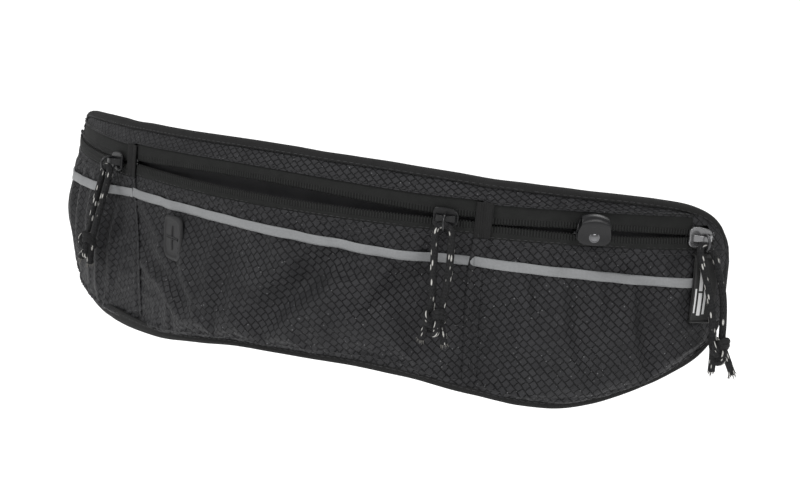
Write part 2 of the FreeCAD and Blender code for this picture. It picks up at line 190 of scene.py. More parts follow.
def lip(p):
    return 2.4 * np.clip(np.cos((np.asarray(p) - 0.02) / 0.40 * math.pi / 2), 0, 1) ** 1.2


# =====================================================================================
# materials, all from nodes
# =====================================================================================
class Mat:
    def __init__(self, name, base=(0.02, 0.02, 0.02), rough=0.7, spec=0.25, metal=0.0, sheen=0.0, coat=0.0):
        self.m = bpy.data.materials.new(name)
        self.m.use_nodes = True
        self.t = self.m.node_tree
        self.b = next(n for n in self.t.nodes if n.type == "BSDF_PRINCIPLED")
        self.b.inputs["Base Color"].default_value = (*base, 1)
        self.b.inputs["Roughness"].default_value = rough
        self.b.inputs["Specular IOR Level"].default_value = spec
        self.b.inputs["Metallic"].default_value = metal
        if sheen:
            self.b.inputs["Sheen Weight"].default_value = sheen
            self.b.inputs["Sheen Roughness"].default_value = 0.45
        if coat:
            self.b.inputs["Coat Weight"].default_value = coat

    def n(self, kind, **kw):
        node = self.t.nodes.new(kind)
        for k, v in kw.items():
            if k.startswith("i_"):
                key = k[2:].replace("_", " ")
                node.inputs[key].default_value = v
            else:
                setattr(node, k, v)
        return node

    def link(self, a, b):
        self.t.links.new(a, b)

    def math(self, op, a, b=None, c=None, clamp=False):
        node = self.t.nodes.new("ShaderNodeMath")
        node.operation = op
        node.use_clamp = clamp
        for i, v in enumerate((a, b, c)):
            if v is None:
                continue
            if isinstance(v, (int, float)):
                node.inputs[i].default_value = v
            else:
                self.link(v, node.inputs[i])
        return node.outputs[0]

    def uv(self, sx=100.0, sy=100.0, rot=0.0):
        """The given map in millimetres."""
        u = self.n("ShaderNodeUVMap")
        u.uv_map = "UVMap"
        m = self.n("ShaderNodeMapping")
        m.inputs["Scale"].default_value = (sx, sy, 1)
        m.inputs["Rotation"].default_value = (0, 0, rot)
        self.link(u.outputs[0], m.inputs[0])
        return m.outputs[0]

    def obj(self, scale=1.0):
        c = self.n("ShaderNodeTexCoord")
        m = self.n("ShaderNodeMapping")
        m.inputs["Scale"].default_value = (scale,) * 3
        self.link(c.outputs["Object"], m.inputs[0])
        return m.outputs[0]

    def noise(self, vec, scale, detail=2.0, rough=0.5):
        node = self.n("ShaderNodeTexNoise")
        node.inputs["Scale"].default_value = scale
        node.inputs["Detail"].default_value = detail
        node.inputs["Roughness"].default_value = rough
        self.link(vec, node.inputs["Vector"])
        return node.outputs[0]

    def sep(self, vec):
        s = self.n("ShaderNodeSeparateXYZ")
        self.link(vec, s.inputs[0])
        return s.outputs

    def ramp(self, fac, a, b, p0=0.0, p1=1.0):
        r = self.n("ShaderNodeMapRange")
        r.clamp = True
        r.inputs["From Min"].default_value = p0
        r.inputs["From Max"].default_value = p1
        r.inputs["To Min"].default_value = a
        r.inputs["To Max"].default_value = b
        self.link(fac, r.inputs["Value"])
        return r.outputs[0]

    def color(self, fac, c0, c1):
        mix = self.n("ShaderNodeMix")
        mix.data_type = "RGBA"
        mix.inputs[6].default_value = (*c0, 1)
        mix.inputs[7].default_value = (*c1, 1)
        self.link(fac, mix.inputs[0])
        self.link(mix.outputs[2], self.b.inputs["Base Color"])
        return mix.outputs[2]

    def bump(self, height, strength=0.5, dist=0.0003, chain=None):
        bp = self.n("ShaderNodeBump")
        bp.inputs["Strength"].default_value = strength
        bp.inputs["Distance"].default_value = dist
        self.link(height, bp.inputs["Height"])
        if chain is not None:
            self.link(chain, bp.inputs["Normal"])
        self.link(bp.outputs[0], self.b.inputs["Normal"])
        return bp.outputs[0]

    def rough(self, sock):
        self.link(sock, self.b.inputs["Roughness"])


def make_ripstop(name, cell=2.75, base=0.0192):
    """Small staggered cells, set on the slant, with sunk thread lines between them that carry painted shade, and a few
    painted glints.
    """
    M = Mat(name, rough=0.55, spec=0.16, sheen=0.0)
    uv = M.uv()
    rot = M.n("ShaderNodeMapping")
    rot.inputs["Rotation"].default_value = (0, 0, math.radians(43))
    M.link(uv, rot.inputs[0])
    nz = M.n("ShaderNodeTexNoise")
    nz.inputs["Scale"].default_value = 0.30
    nz.inputs["Detail"].default_value = 3.0
    M.link(uv, nz.inputs["Vector"])
    off = M.n("ShaderNodeVectorMath")
    off.operation = "SCALE"
    off.inputs[3].default_value = 0.9
    M.link(nz.outputs[1], off.inputs[0])
    add = M.n("ShaderNodeVectorMath")
    add.operation = "ADD"
    M.link(rot.outputs[0], add.inputs[0])
    M.link(off.outputs[0], add.inputs[1])
    br = M.n("ShaderNodeTexBrick")
    br.offset = 0.5
    br.inputs["Scale"].default_value = 1.0
    br.inputs["Brick Width"].default_value = cell
    br.inputs["Row Height"].default_value = cell
    br.inputs["Mortar Size"].default_value = 0.34
    br.inputs["Mortar Smooth"].default_value = 0.85
    br.inputs["Bias"].default_value = 0.0
    br.inputs["Color1"].default_value = (0.0, 0.0, 0.0, 1)
    br.inputs["Color2"].default_value = (1.0, 1.0, 1.0, 1)
    br.inputs["Mortar"].default_value = (0.5, 0.5, 0.5, 1)
    M.link(add.outputs[0], br.inputs["Vector"])
    mort = br.outputs[1]
    cellv = M.n("ShaderNodeSeparateColor")
    M.link(br.outputs[0], cellv.inputs[0])
    s = M.sep(rot.outputs[0])
    w1 = M.math("SINE", M.math("MULTIPLY", s[0], 2 * math.pi / 0.46))
    w2 = M.math("SINE", M.math("MULTIPLY", s[1], 2 * math.pi / 0.46))
    weave = M.math("MULTIPLY", w1, w2)
    big = M.noise(uv, 0.05, 3.0, 0.6)
    fine = M.noise(uv, 1.3, 3.0, 0.65)
    # painted glints: small light spots on the threads, mixed into the base colour in place of specular highlights
    vo = M.n("ShaderNodeTexVoronoi")
    vo.inputs["Scale"].default_value = 0.55
    vo.inputs["Randomness"].default_value = 0.9
    M.link(rot.outputs[0], vo.inputs["Vector"])
    dot = M.ramp(vo.outputs["Distance"], 1.0, 0.0, 0.06, 0.18)
    painted_glint = M.math("MULTIPLY", dot, M.ramp(M.noise(uv, 0.8, 1.0), 0.0, 1.0, 0.46, 0.58))
    # tone of a cell: its own tone, broad wear, fine yarns, and painted shade that darkens it towards its sunk edge
    shade = M.math("ADD", M.math("MULTIPLY", cellv.outputs[0], 0.16), M.math("MULTIPLY", big, 0.42))
    shade = M.math("ADD", shade, M.math("MULTIPLY", fine, 0.50))
    # painted shade: the colour is darkened along the recessed thread lines
    painted_line_shade = M.math("SUBTRACT", 1.0, M.math("MULTIPLY", mort, M.ramp(big, 0.72, 0.95, 0.35, 0.6)))
    tone = M.math("MULTIPLY", shade, painted_line_shade, clamp=True)
    c1 = M.n("ShaderNodeMix")
    c1.data_type = "RGBA"
    c1.inputs[6].default_value = (base * 0.16, base * 0.16, base * 0.18, 1)
    c1.inputs[7].default_value = (base * 1.95, base * 1.95, base * 2.08, 1)
    M.link(tone, c1.inputs[0])
    # painted highlight: where the glints fall, the base colour is pushed towards pale grey
    c2 = M.n("ShaderNodeMix")
    c2.data_type = "RGBA"
    c2.inputs[7].default_value = (0.20, 0.20, 0.205, 1)
    M.link(M.math("MULTIPLY", painted_glint, 0.8), c2.inputs[0])
    M.link(c1.outputs[2], c2.inputs[6])
    M.link(c2.outputs[2], M.b.inputs["Base Color"])
    M.rough(M.ramp(fine, 0.45, 0.68, 0.3, 0.7))
    h = M.math("SUBTRACT", M.math("MULTIPLY", weave, 0.06), M.math("MULTIPLY", mort, 1.0))
    h = M.math("ADD", h, M.math("MULTIPLY", fine, 0.35))
    M.bump(h, 0.8, 0.00045)
    return M.m


def make_ribbed(name, base=0.02, pitch=1.15, zone=None, tone=(1, 1, 1), rough=0.8, spec=0.12, depth=0.00022, cross=0.4):
    """Woven tape; ribs run across it, inside a zone of the map's v where one is given."""
    M = Mat(name, rough=rough, spec=spec)
    uv = M.uv()
    s = M.sep(uv)
    rib = M.math("SINE", M.math("MULTIPLY", s[0], 2 * math.pi / pitch))
    rib = M.math("MULTIPLY", M.math("ADD", rib, 1.0), 0.5)
    if zone:
        a, b = zone[0] + 1000.0, zone[1] + 1000.0   # the map starts at 1000 mm
        z1 = M.ramp(s[1], 0.0, 1.0, a - 0.15, a + 0.15)
        z2 = M.ramp(s[1], 1.0, 0.0, b - 0.2, b + 0.2)
        mask = M.math("MULTIPLY", z1, z2)
        rib = M.math("MULTIPLY", rib, mask)
    wv = M.math("SINE", M.math("MULTIPLY", s[1], 2 * math.pi / 0.55))
    wu = M.math("SINE", M.math("MULTIPLY", M.math("ADD", s[0], s[1]), 2 * math.pi / 0.62))
    weave = M.math("MULTIPLY", wv, wu)
    nz = M.noise(uv, 0.22, 3.0, 0.6)
    fine = M.noise(uv, 2.2, 2.0)
    t = M.math("ADD", M.math("MULTIPLY", nz, 0.55), M.math("MULTIPLY", fine, 0.3))
    if zone:   # painted shade between the ribs and painted highlight on them
        t = M.math("ADD", t, M.math("MULTIPLY", M.math("SUBTRACT", rib, M.math("MULTIPLY", mask, 0.5)), 0.75), clamp=True)
    else:
        # a faint painted highlight: the ribs are a little lighter than the tape between them
        t = M.math("ADD", t, M.math("MULTIPLY", rib, 0.12), clamp=True)
    M.color(t, tuple(base * 0.55 * c for c in tone), tuple(base * 1.7 * c for c in tone))
    M.rough(M.ramp(fine, rough - 0.1, min(rough + 0.12, 1.0), 0.25, 0.75))
    h = M.math("ADD", M.math("MULTIPLY", rib, 1.0), M.math("MULTIPLY", weave, 0.10 * cross))
    h = M.math("ADD", h, M.math("MULTIPLY", fine, 0.25))
    M.bump(h, 0.7, depth)
    return M.m


def make_webbing(name, base=0.022):
    M = Mat(name, rough=0.75, spec=0.25, sheen=0.04)
    uv = M.uv()
    s = M.sep(uv)
    a = M.math("SINE", M.math("MULTIPLY", M.math("ADD", s[0], s[1]), 2 * math.pi / 2.2))
    b = M.math("SINE", M.math("MULTIPLY", M.math("SUBTRACT", s[0], s[1]), 2 * math.pi / 2.2))
    h = M.math("ADD", M.math("ABSOLUTE", a), M.math("ABSOLUTE", b))
    fine = M.noise(uv, 2.0, 2.0)
    big = M.noise(uv, 0.08, 3.0)
    t = M.math("ADD", M.math("MULTIPLY", h, 0.22), M.math("MULTIPLY", big, 0.5), clamp=True)
    M.color(t, (base * 0.5,) * 3, (base * 1.7, base * 1.7, base * 1.8))
    M.rough(M.ramp(fine, 0.62, 0.86, 0.25, 0.75))
    M.bump(M.math("ADD", h, M.math("MULTIPLY", fine, 0.4)), 0.6, 0.0003)
    return M.m


def make_mesh3d(name):
    M = Mat(name, rough=0.8, spec=0.2, sheen=0.05)
    uv = M.uv()
    vo = M.n("ShaderNodeTexVoronoi")
    vo.inputs["Scale"].default_value = 0.42
    vo.inputs["Randomness"].default_value = 0.12
    M.link(uv, vo.inputs["Vector"])
    hole = M.ramp(vo.outputs["Distance"], 1.0, 0.0, 0.18, 0.42)
    fine = M.noise(uv, 2.4, 2.0)
    big = M.noise(uv, 0.05, 3.0)
    t = M.math("ADD", M.math("MULTIPLY", M.math("SUBTRACT", 1.0, hole), 0.6), M.math("MULTIPLY", big, 0.35), clamp=True)
    M.color(t, (0.004, 0.004, 0.0045), (0.040, 0.040, 0.043))
    h = M.math("SUBTRACT", M.math("MULTIPLY", fine, 0.3), M.math("MULTIPLY", hole, 1.2))
    M.rough(M.ramp(fine, 0.7, 0.92, 0.2, 0.8))
    M.bump(h, 0.8, 0.0008)
    return M.m


def make_lining(name):
    M = Mat(name, rough=0.7, spec=0.25)
    uv = M.uv()
    s = M.sep(uv)
    w = M.math("MULTIPLY", M.math("SINE", M.math("MULTIPLY", s[0], 2 * math.pi / 0.5)), M.math("SINE", M.math("MULTIPLY", s[1], 2 * math.pi / 0.5)))
    big = M.noise(uv, 0.08, 3.0)
    M.color(big, (0.010, 0.010, 0.011), (0.034, 0.034, 0.036))
    M.rough(M.ramp(M.noise(uv, 1.2), 0.6, 0.85))
    M.bump(M.math("ADD", M.math("MULTIPLY", w, 0.3), M.math("MULTIPLY", big, 2.0)), 0.5, 0.0002)
    return M.m


def make_reflective(name):
    M = Mat(name, rough=0.52, spec=0.35)
    uv = M.uv()
    vo = M.n("ShaderNodeTexVoronoi")
    vo.inputs["Scale"].default_value = 3.0
    M.link(uv, vo.inputs["Vector"])
    fine = M.noise(uv, 1.1, 3.0, 0.65)
    big = M.noise(uv, 0.07, 3.0)
    t = M.math("ADD", M.math("MULTIPLY", fine, 0.55), M.math("MULTIPLY", big, 0.5), clamp=True)
    M.color(t, (0.105, 0.107, 0.110), (0.265, 0.27, 0.275))
    M.rough(M.ramp(fine, 0.42, 0.66, 0.25, 0.75))
    M.bump(M.math("ADD", vo.outputs["Distance"], fine), 0.35, 0.00012)
    return M.m


def make_hard(name, c0, c1, rough, spec=0.5, metal=0.0, scale=300.0, bump=0.00004, coat=0.0, var=0.12):
    M = Mat(name, rough=rough, spec=spec, metal=metal, coat=coat)
    v = M.obj(1.0)
    nz = M.noise(v, scale, 3.0)
    big = M.noise(v, scale / 12.0, 2.0)
    M.color(M.math("ADD", M.math("MULTIPLY", nz, 0.5), M.math("MULTIPLY", big, 0.5)), c0, c1)
    M.rough(M.ramp(big, max(rough - var, 0.05), min(rough + var, 1.0), 0.3, 0.7))
    M.bump(nz, 0.4, bump)
    return M.m


def make_cord(name):
    """Braid: u runs once round per turn, v along, in mm."""
    M = Mat(name, rough=0.6, spec=0.2)
    uv = M.uv()
    s = M.sep(uv)
    a = M.math("SINE", M.math("ADD", M.math("MULTIPLY", s[0], 8 * 2 * math.pi / 9.42), M.math("MULTIPLY", s[1], 2 * math.pi / 2.6)))
    b = M.math("SINE", M.math("SUBTRACT", M.math("MULTIPLY", s[0], 8 * 2 * math.pi / 9.42), M.math("MULTIPLY", s[1], 2 * math.pi / 2.6)))
    h = M.math("MAXIMUM", a, b)
    # light tracer strands that come to the surface now and then
    sx = M.n("ShaderNodeMapping")
    sx.inputs["Scale"].default_value = (0.50, 0.26, 1)
    M.link(uv, sx.inputs[0])
    vo = M.n("ShaderNodeTexVoronoi")
    vo.inputs["Scale"].default_value = 1.0
    vo.inputs["Randomness"].default_value = 0.75
    M.link(sx.outputs[0], vo.inputs["Vector"])
    fl = M.ramp(vo.outputs["Distance"], 1.0, 0.0, 0.27, 0.38)
    pick = M.n("ShaderNodeSeparateColor")
    M.link(vo.outputs["Color"], pick.inputs[0])
    fl = M.math("MULTIPLY", fl, M.ramp(pick.outputs[0], 0.0, 1.0, 0.56, 0.60))
    nz = M.noise(uv, 0.9, 3.0)
    c1 = M.n("ShaderNodeMix")
    c1.data_type = "RGBA"
    c1.inputs[6].default_value = (0.004, 0.004, 0.0045, 1)
    c1.inputs[7].default_value = (0.022, 0.022, 0.023, 1)
    M.link(M.math("MULTIPLY", M.math("ADD", h, 1.0), 0.5), c1.inputs[0])
    c2 = M.n("ShaderNodeMix")
    c2.data_type = "RGBA"
    c2.inputs[7].default_value = (0.62, 0.61, 0.58, 1)
    M.link(c1.outputs[2], c2.inputs[6])
    M.link(fl, c2.inputs[0])
    M.link(c2.outputs[2], M.b.inputs["Base Color"])
    M.rough(M.ramp(nz, 0.6, 0.85, 0.3, 0.7))
    M.bump(M.math("ADD", h, M.math("MULTIPLY", nz, 0.5)), 0.8, 0.00035)
    return M.m


MT = {
    "ripstop": make_ripstop("ripstop_fabric"),
    "lining": make_lining("lining_fabric"),
    "mesh": make_mesh3d("spacer_mesh"),
    "binding": make_ribbed("binding_tape", 0.0135, 0.8, rough=0.78, depth=0.00012),
    "tape": make_ribbed("zip_tape", 0.0130, 1.2, zone=(0.1, 2.5), tone=(1.0, 1.03, 1.0), rough=0.82, spec=0.12, depth=0.0005),
    "tape_plain": make_ribbed("divider_tape", 0.0125, 0.9, rough=0.8, depth=0.0002),
    "coil": make_hard("coil_plastic", (0.006, 0.006, 0.006), (0.016, 0.016, 0.016), 0.5, 0.25, scale=900.0),
    "reflective": make_reflective("reflective_strip"),
    "rubber": make_hard("port_rubber", (0.012, 0.012, 0.0125), (0.026, 0.026, 0.027), 0.6, 0.25, scale=700.0, bump=0.00008),
    "label": make_ribbed("label_weave", 0.012, 0.55, rough=0.6, spec=0.35, depth=0.00008),
    "print": make_hard("label_bars", (0.50, 0.50, 0.50), (0.66, 0.66, 0.66), 0.6, 0.3, scale=900.0),
    # lighter copy of the slider finish, used on the right slider only: its light grey is a painted reflection of the
    # bright surroundings
    "slider": make_hard("slider_enamel_painted_reflection", (0.11, 0.11, 0.113), (0.21, 0.21, 0.215), 0.26, 0.5, metal=0.6, scale=260.0, coat=0.6, var=0.06),
    "slider_dark": make_hard("slider_black", (0.005, 0.005, 0.0055), (0.012, 0.012, 0.0125), 0.34, 0.2, metal=0.0, scale=260.0, coat=0.12, var=0.06),
    "wire_dark": make_hard("ring_black", (0.008, 0.008, 0.0085), (0.030, 0.030, 0.031), 0.3, 0.5, metal=0.4, scale=500.0),
    "wire": make_hard("ring_wire", (0.03, 0.03, 0.031), (0.08, 0.08, 0.083), 0.28, 0.5, metal=0.8, scale=500.0),
    "cord": make_cord("braided_cord"),
    "rivet": make_hard("snap_nickel", (0.10, 0.10, 0.105), (0.20, 0.20, 0.205), 0.26, 0.5, metal=1.0, scale=400.0),
    "tether": make_hard("coated_webbing", (0.004, 0.004, 0.0045), (0.011, 0.011, 0.012), 0.34, 0.3, scale=420.0, bump=0.00012),
    "webbing": make_webbing("belt_webbing"),
    "buckle": make_hard("buckle_plastic", (0.012, 0.012, 0.013), (0.026, 0.026, 0.028), 0.5, 0.4, scale=1200.0, bump=0.00006),
    "thread": make_hard("thread", (0.010, 0.010, 0.0105), (0.040, 0.040, 0.042), 0.6, 0.25, scale=900.0),
    "thread_pale": make_hard("thread_pale", (0.10, 0.10, 0.105), (0.20, 0.20, 0.205), 0.55, 0.4, scale=900.0),
    "fray": make_hard("frayed_strands", (0.012, 0.012, 0.012), (0.26, 0.25, 0.23), 0.7, 0.3, scale=500.0),
}

# =====================================================================================
# mesh helpers
# =====================================================================================


def make_object(name, verts, faces, mat, uvs=None, smooth=True):
    me = bpy.data.meshes.new(name)
    me.from_pydata([tuple(float(c) for c in v) for v in verts], [], [tuple(int(i) for i in f) for f in faces])
    me.update()
    if uvs is not None:
        layer = me.uv_layers.new(name="UVMap")
        idx = np.zeros(len(me.loops), int)
        me.loops.foreach_get("vertex_index", idx)
        layer.data.foreach_set("uv", np.asarray(uvs, float)[idx].astype(np.float32).ravel())
    ob = bpy.data.objects.new(name, me)
    scene.collection.objects.link(ob)
    me.materials.append(MT[mat])
    if smooth:
        me.polygons.foreach_set("use_smooth", [True] * len(me.polygons))
    return ob


def grid_faces(n, m, base=0, wrap=False):
    f = []
    for i in range(n - 1 if not wrap else n):
        k = (i + 1) % n
        for j in range(m - 1):
            f.append((base + i * m + j, base + k * m + j, base + k * m + j + 1, base + i * m + j + 1))
    return f


def grid_object(name, phi, off, z, mat, thick=0.0, uv=None, flip=False, extra=0.0):
    """phi, off, z are (n, m) arrays. The map is in mm along the curve and up."""
    n, m = phi.shape
    X = PN(phi, off, z).reshape(-1, 3)
    if uv is None:
        uv = np.stack([phi * (R0 + 3.0), z], -1)
    uv = np.asarray(uv).reshape(-1, 2) * 0.01 + 10.0
    f = grid_faces(n, m)
    if flip:
        f = [tuple(reversed(q)) for q in f]
    ob = make_object(name, X, f, mat, uv)
    if thick:
        solidify(ob, thick)
    return ob


def apply_all(ob):
    dg = bpy.context.evaluated_depsgraph_get()
    me = bpy.data.meshes.new_from_object(ob.evaluated_get(dg), preserve_all_data_layers=True, depsgraph=dg)
    old = ob.data
    ob.modifiers.clear()
    ob.data = me
    bpy.data.meshes.remove(old)
    me.name = ob.name


def solidify(ob, thick, offset=-1.0):
    md = ob.modifiers.new("s", "SOLIDIFY")
    md.thickness = thick / 1000.0
    md.offset = offset
    md.use_even_offset = False
    apply_all(ob)
    return ob


def bevel(ob, width, seg=3, angle=30):
    md = ob.modifiers.new("b", "BEVEL")
    md.width = width / 1000.0
    md.segments = seg
    md.limit_method = "ANGLE"
    md.angle_limit = math.radians(angle)
    md.use_clamp_overlap = True
    apply_all(ob)
    ob.data.polygons.foreach_set("use_smooth", [True] * len(ob.data.polygons))
    wn = ob.modifiers.new("w", "WEIGHTED_NORMAL")
    apply_all(ob)
    return ob


def seat(ob, body, nodes=()):
    if body_of(ob) is None:
        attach(ob, body)
    if nodes:
        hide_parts(*nodes)
    return ob


def tube_mesh(points, radius, sides=16, cap=True, closed=False):
    """Round tube on a dense polyline; radius may be an array. Returns verts, faces, uv in mm."""
    P = np.asarray(points, float)
    n = len(P)
    T = np.roll(P, -1, 0) - np.roll(P, 1, 0) if closed else np.gradient(P, axis=0)
    T /= np.linalg.norm(T, axis=1)[:, None]
    rad = np.broadcast_to(np.asarray(radius, float), (n,))
    N = np.zeros_like(P)
    a = np.array([0, 0, 1.0]) if abs(T[0][2]) < 0.9 else np.array([1.0, 0, 0])
    v = a - T[0] * a.dot(T[0])
    N[0] = v / np.linalg.norm(v)
    for i in range(1, n):
        v = N[i - 1] - T[i] * N[i - 1].dot(T[i])
        N[i] = v / max(np.linalg.norm(v), 1e-12)
    if closed:
        v = N[-1] - T[0] * N[-1].dot(T[0])
        v /= np.linalg.norm(v)
        ang = math.atan2(np.dot(np.cross(v, N[0]), T[0]), v.dot(N[0]))
        for i in range(n):
            c, s = math.cos(ang * i / n), math.sin(ang * i / n)
            N[i] = N[i] * c + np.cross(T[i], N[i]) * s
    B = np.cross(T, N)
    L = np.concatenate([[0], np.cumsum(np.linalg.norm(np.diff(P, axis=0), axis=1))]) * 1000
    V, UV = [], []
    for i in range(n):
        for k in range(sides):
            t = 2 * math.pi * k / sides
            V.append(P[i] + (N[i] * math.cos(t) + B[i] * math.sin(t)) * rad[i])
            UV.append((abs(k / sides - 0.5) * 2 * 9.42, L[i]))
    F = []
    for i in range(n if closed else n - 1):
        j = (i + 1) % n
        for k in range(sides):
            q = (k + 1) % sides
            F.append((i * sides + k, j * sides + k, j * sides + q, i * sides + q))
    if cap and not closed:
        for i, order in ((0, 1), (n - 1, -1)):
            c = len(V)
            V.append(P[i] + (T[i] * rad[i] * 0.35) * (-1 if i == 0 else 1))
            UV.append((0, L[i]))
            for k in range(sides):
                q = (k + 1) % sides
                tri = (c, i * sides + k, i * sides + q)
                F.append(tri[::-1] if i == 0 else tri)
    return V, F, UV


class Bag:
    """Collects many little shapes into one mesh."""

    def __init__(self):
        self.V, self.F, self.UV = [], [], []

    def add(self, V, F, UV=None):
        b = len(self.V)
        self.V.extend(V)
        self.F.extend([tuple(i + b for i in f) for f in F])
        self.UV.extend(UV if UV is not None else [(0.0, 0.0)] * len(V))

    def make(self, name, mat):
        return make_object(name, self.V, self.F, mat, np.array(self.UV) * 0.01)


CAP = [(-1.0, 0.0), (-0.86, 0.62), (-0.45, 0.92), (0.0, 1.0), (0.45, 0.92), (0.86, 0.62), (1.0, 0.0)]


def stitch(bag, c, d, nrm, length=2.0, width=0.42, height=0.30):
    """One thread stitch lying on a surface. All mm, c in metres."""
    d = d / np.linalg.norm(d)
    nrm = nrm - d * nrm.dot(d)
    nrm /= np.linalg.norm(nrm)
    s = np.cross(nrm, d)
    V, F = [], []
    K = 6
    for a, r in CAP:
        for k in range(K):
            t = 2 * math.pi * k / K
            V.append(c + (d * a * length / 2 + s * math.cos(t) * r * width / 2 + nrm * (math.sin(t) * r * height / 2 + 0.05)) / 1000)
    for i in range(len(CAP) - 1):
        for k in range(K):
            q = (k + 1) % K
            F.append((i * K + k, (i + 1) * K + k, (i + 1) * K + q, i * K + q))
    bag.add(V, F)


def stitch_line(bag, pts, nrm, length=2.0, gap=0.8, width=0.42, height=0.32):
    """Stitches along a polyline on a surface; pts and nrm are (n, 3)."""
    pts, nrm = np.asarray(pts, float), np.asarray(nrm, float)
    L = np.concatenate([[0], np.cumsum(np.linalg.norm(np.diff(pts, axis=0), axis=1))]) * 1000
    x = length / 2 + 0.3
    while x < L[-1] - length / 2:
        c = np.array([np.interp(x, L, pts[:, k]) for k in range(3)])
        a = np.array([np.interp(x - 0.6, L, pts[:, k]) for k in range(3)])
        b = np.array([np.interp(x + 0.6, L, pts[:, k]) for k in range(3)])
        n = np.array([np.interp(x, L, nrm[:, k]) for k in range(3)])
        stitch(bag, c, b - a, n, length, width, height)
        x += length + gap


def radial(phi):
    phi = np.asarray(phi, float)
    return np.stack([np.sin(phi), -np.cos(phi), np.zeros_like(phi)], -1)


# =====================================================================================
# rear panel, lining, bound edge
# =====================================================================================
def cols(p0, p1, n):
    """Columns closer together at the ends of the pack."""
    t = np.linspace(-1, 1, n)
    t = 0.55 * t + 0.45 * np.sin(t * math.pi / 2)
    return p0 + (p1 - p0) * (t + 1) / 2


# outline as a dense closed line on the unrolled surface (mm), anticlockwise from the front
def closed_line(table, n=520):
    ph = cols(table[0, 0], table[-1, 0], 300)
    low = np.stack([ph * R0, smooth_table(table, ph, 1)], -1)
    high = np.stack([ph[::-1] * R0, smooth_table(table, ph[::-1], 2)], -1)
    pts = np.concatenate([low, high])
    # relax the small corners at the ends
    for _ in range(30):
        pts = 0.5 * pts + 0.25 * (np.roll(pts, 1, 0) + np.roll(pts, -1, 0))
    seg = np.linalg.norm(np.roll(pts, -1, 0) - pts, axis=1)
    L = np.concatenate([[0], np.cumsum(seg)])
    q = np.vstack([pts, pts[:1]])
    x = np.linspace(0, L[-1], n, endpoint=False)
    out = np.stack([np.interp(x, L, q[:, 0]), np.interp(x, L, q[:, 1])], -1)
    t = np.roll(out, -1, 0) - np.roll(out, 1, 0)
    t /= np.linalg.norm(t, axis=1)[:, None]
    inward = np.stack([-t[:, 1], t[:, 0]], -1)
    return out, inward, x, L[-1]


LINE, INW, ARC, PERIM = closed_line(OUTLINE)


def on_edge(d, off, idx=slice(None), wob=0.0):
    """Points d mm in from the outline at the given distance out from the lining."""
    q = LINE[idx] + INW[idx] * (d + wob)[:, None] if isinstance(wob, np.ndarray) else LINE[idx] + INW[idx] * d
    return PN(q[:, 0] / R0, off, q[:, 1])


# binding: U section folded over the raw edge
sec = [(3.1, 0.62), (3.02, 1.10), (2.5, 1.38), (1.9, 1.28), (1.1, 1.34), (0.2, 0.75), (-0.25, -0.5), (-0.3, -2.0),
       (0.02, -3.3), (0.8, -4.1), (1.9, -4.28), (2.6, -4.2), (3.02, -3.95), (3.1, -3.4)]
wv = noise(ARC / 14.0, ARC * 0, 3)
wv2 = noise(ARC / 5.0, ARC * 0 + 9.3, 5)
WIDE = 1.0 + 1.15 * sstep(-35, -100, LINE[:, 0]) * sstep(28, 8, LINE[:, 1])
V, UV = [], []
for i in range(len(LINE)):
    run = 0.0
    for j, (d, o) in enumerate(sec):
        if d > 1:
            o = o + (1.5 * (WIDE[i] - 1) * d / 3.1 if o > 0 else 0)
            d = d * WIDE[i]
        puck = 0.16 * wv2[i] * (1 if 0 < j < len(sec) - 1 else 0.3)
        q = LINE[i] + INW[i] * (d + 0.22 * wv[i])
        V.append(PN(q[0] / R0, o + puck * (1 if o > -2 else -1), q[1]))
        UV.append((ARC[i], run))
        if j < len(sec) - 1:
            run += math.hypot(sec[j + 1][0] - d, sec[j + 1][1] - o)
F = []
m = len(sec)
for i in range(len(LINE)):
    k = (i + 1) % len(LINE)
    for j in range(m - 1):
        F.append((i * m + j, i * m + j + 1, k * m + j + 1, k * m + j))
binding = make_object("edge_binding_tape", V, F, "binding", np.array(UV) * 0.01)
solidify(binding, 0.35)
seat(binding, "pack", ["edge_binding"])
bag = Bag()
idx = np.arange(len(LINE) + 1) % len(LINE)
q = LINE[idx] + INW[idx] * (2.2 * WIDE[idx])[:, None]
stitch_line(bag, PN(q[:, 0] / R0, 1.22 + 1.06 * (WIDE[idx] - 1), q[:, 1]), radial(q[:, 0] / R0), 2.1, 0.7, 0.45, 0.42)
stitch_line(bag, PN(q[:, 0] / R0, -4.25, q[:, 1]), -radial(q[:, 0] / R0), 2.1, 0.7, 0.45, 0.42)
seat(bag.make("binding_stitches", "thread"), "pack")

# rear panel: spacer mesh over foam, with two sewn channels
n, m = 200, 40
ph = cols(-0.985, 0.985, n)[:, None] * np.ones((1, m))
t = np.linspace(0, 1, m)[None, :] * np.ones((n, 1))
za, zb = lo_o(ph) + 0.4, hi_o(ph) - 0.4
z = za + (zb - za) * t
de = np.minimum(np.minimum((z - lo_o(ph)), (hi_o(ph) - z)), (0.99 - np.abs(ph)) * R0 * 0.9)
de = np.clip(de, 0, 40)
rear = -1.2 - 2.75 * sstep(0, 9, de)
chan = np.exp(-(((np.abs(ph) - 0.30) * R0) / 1.6) ** 2) + np.exp(-(((np.abs(ph) - 0.66) * R0) / 1.6) ** 2)
rear = rear + 1.1 * chan * sstep(4, 10, de) - 0.15 * (1 + noise(ph * 30, z / 16.0, 21)) * sstep(4, 14, de) * 0.5
rear = np.maximum(rear, -4.05)
uvr = np.stack([ph * R0, z], -1)
Xf, Xr = PN(ph, -1.12, z).reshape(-1, 3), PN(ph, rear, z).reshape(-1, 3)
nv = n * m
F = grid_faces(n, m) + [tuple(reversed(f)) for f in grid_faces(n, m, nv)]
for i in range(n - 1):
    F.append((i * m, nv + i * m, nv + (i + 1) * m, (i + 1) * m))
    F.append((i * m + m - 1, (i + 1) * m + m - 1, nv + (i + 1) * m + m - 1, nv + i * m + m - 1))
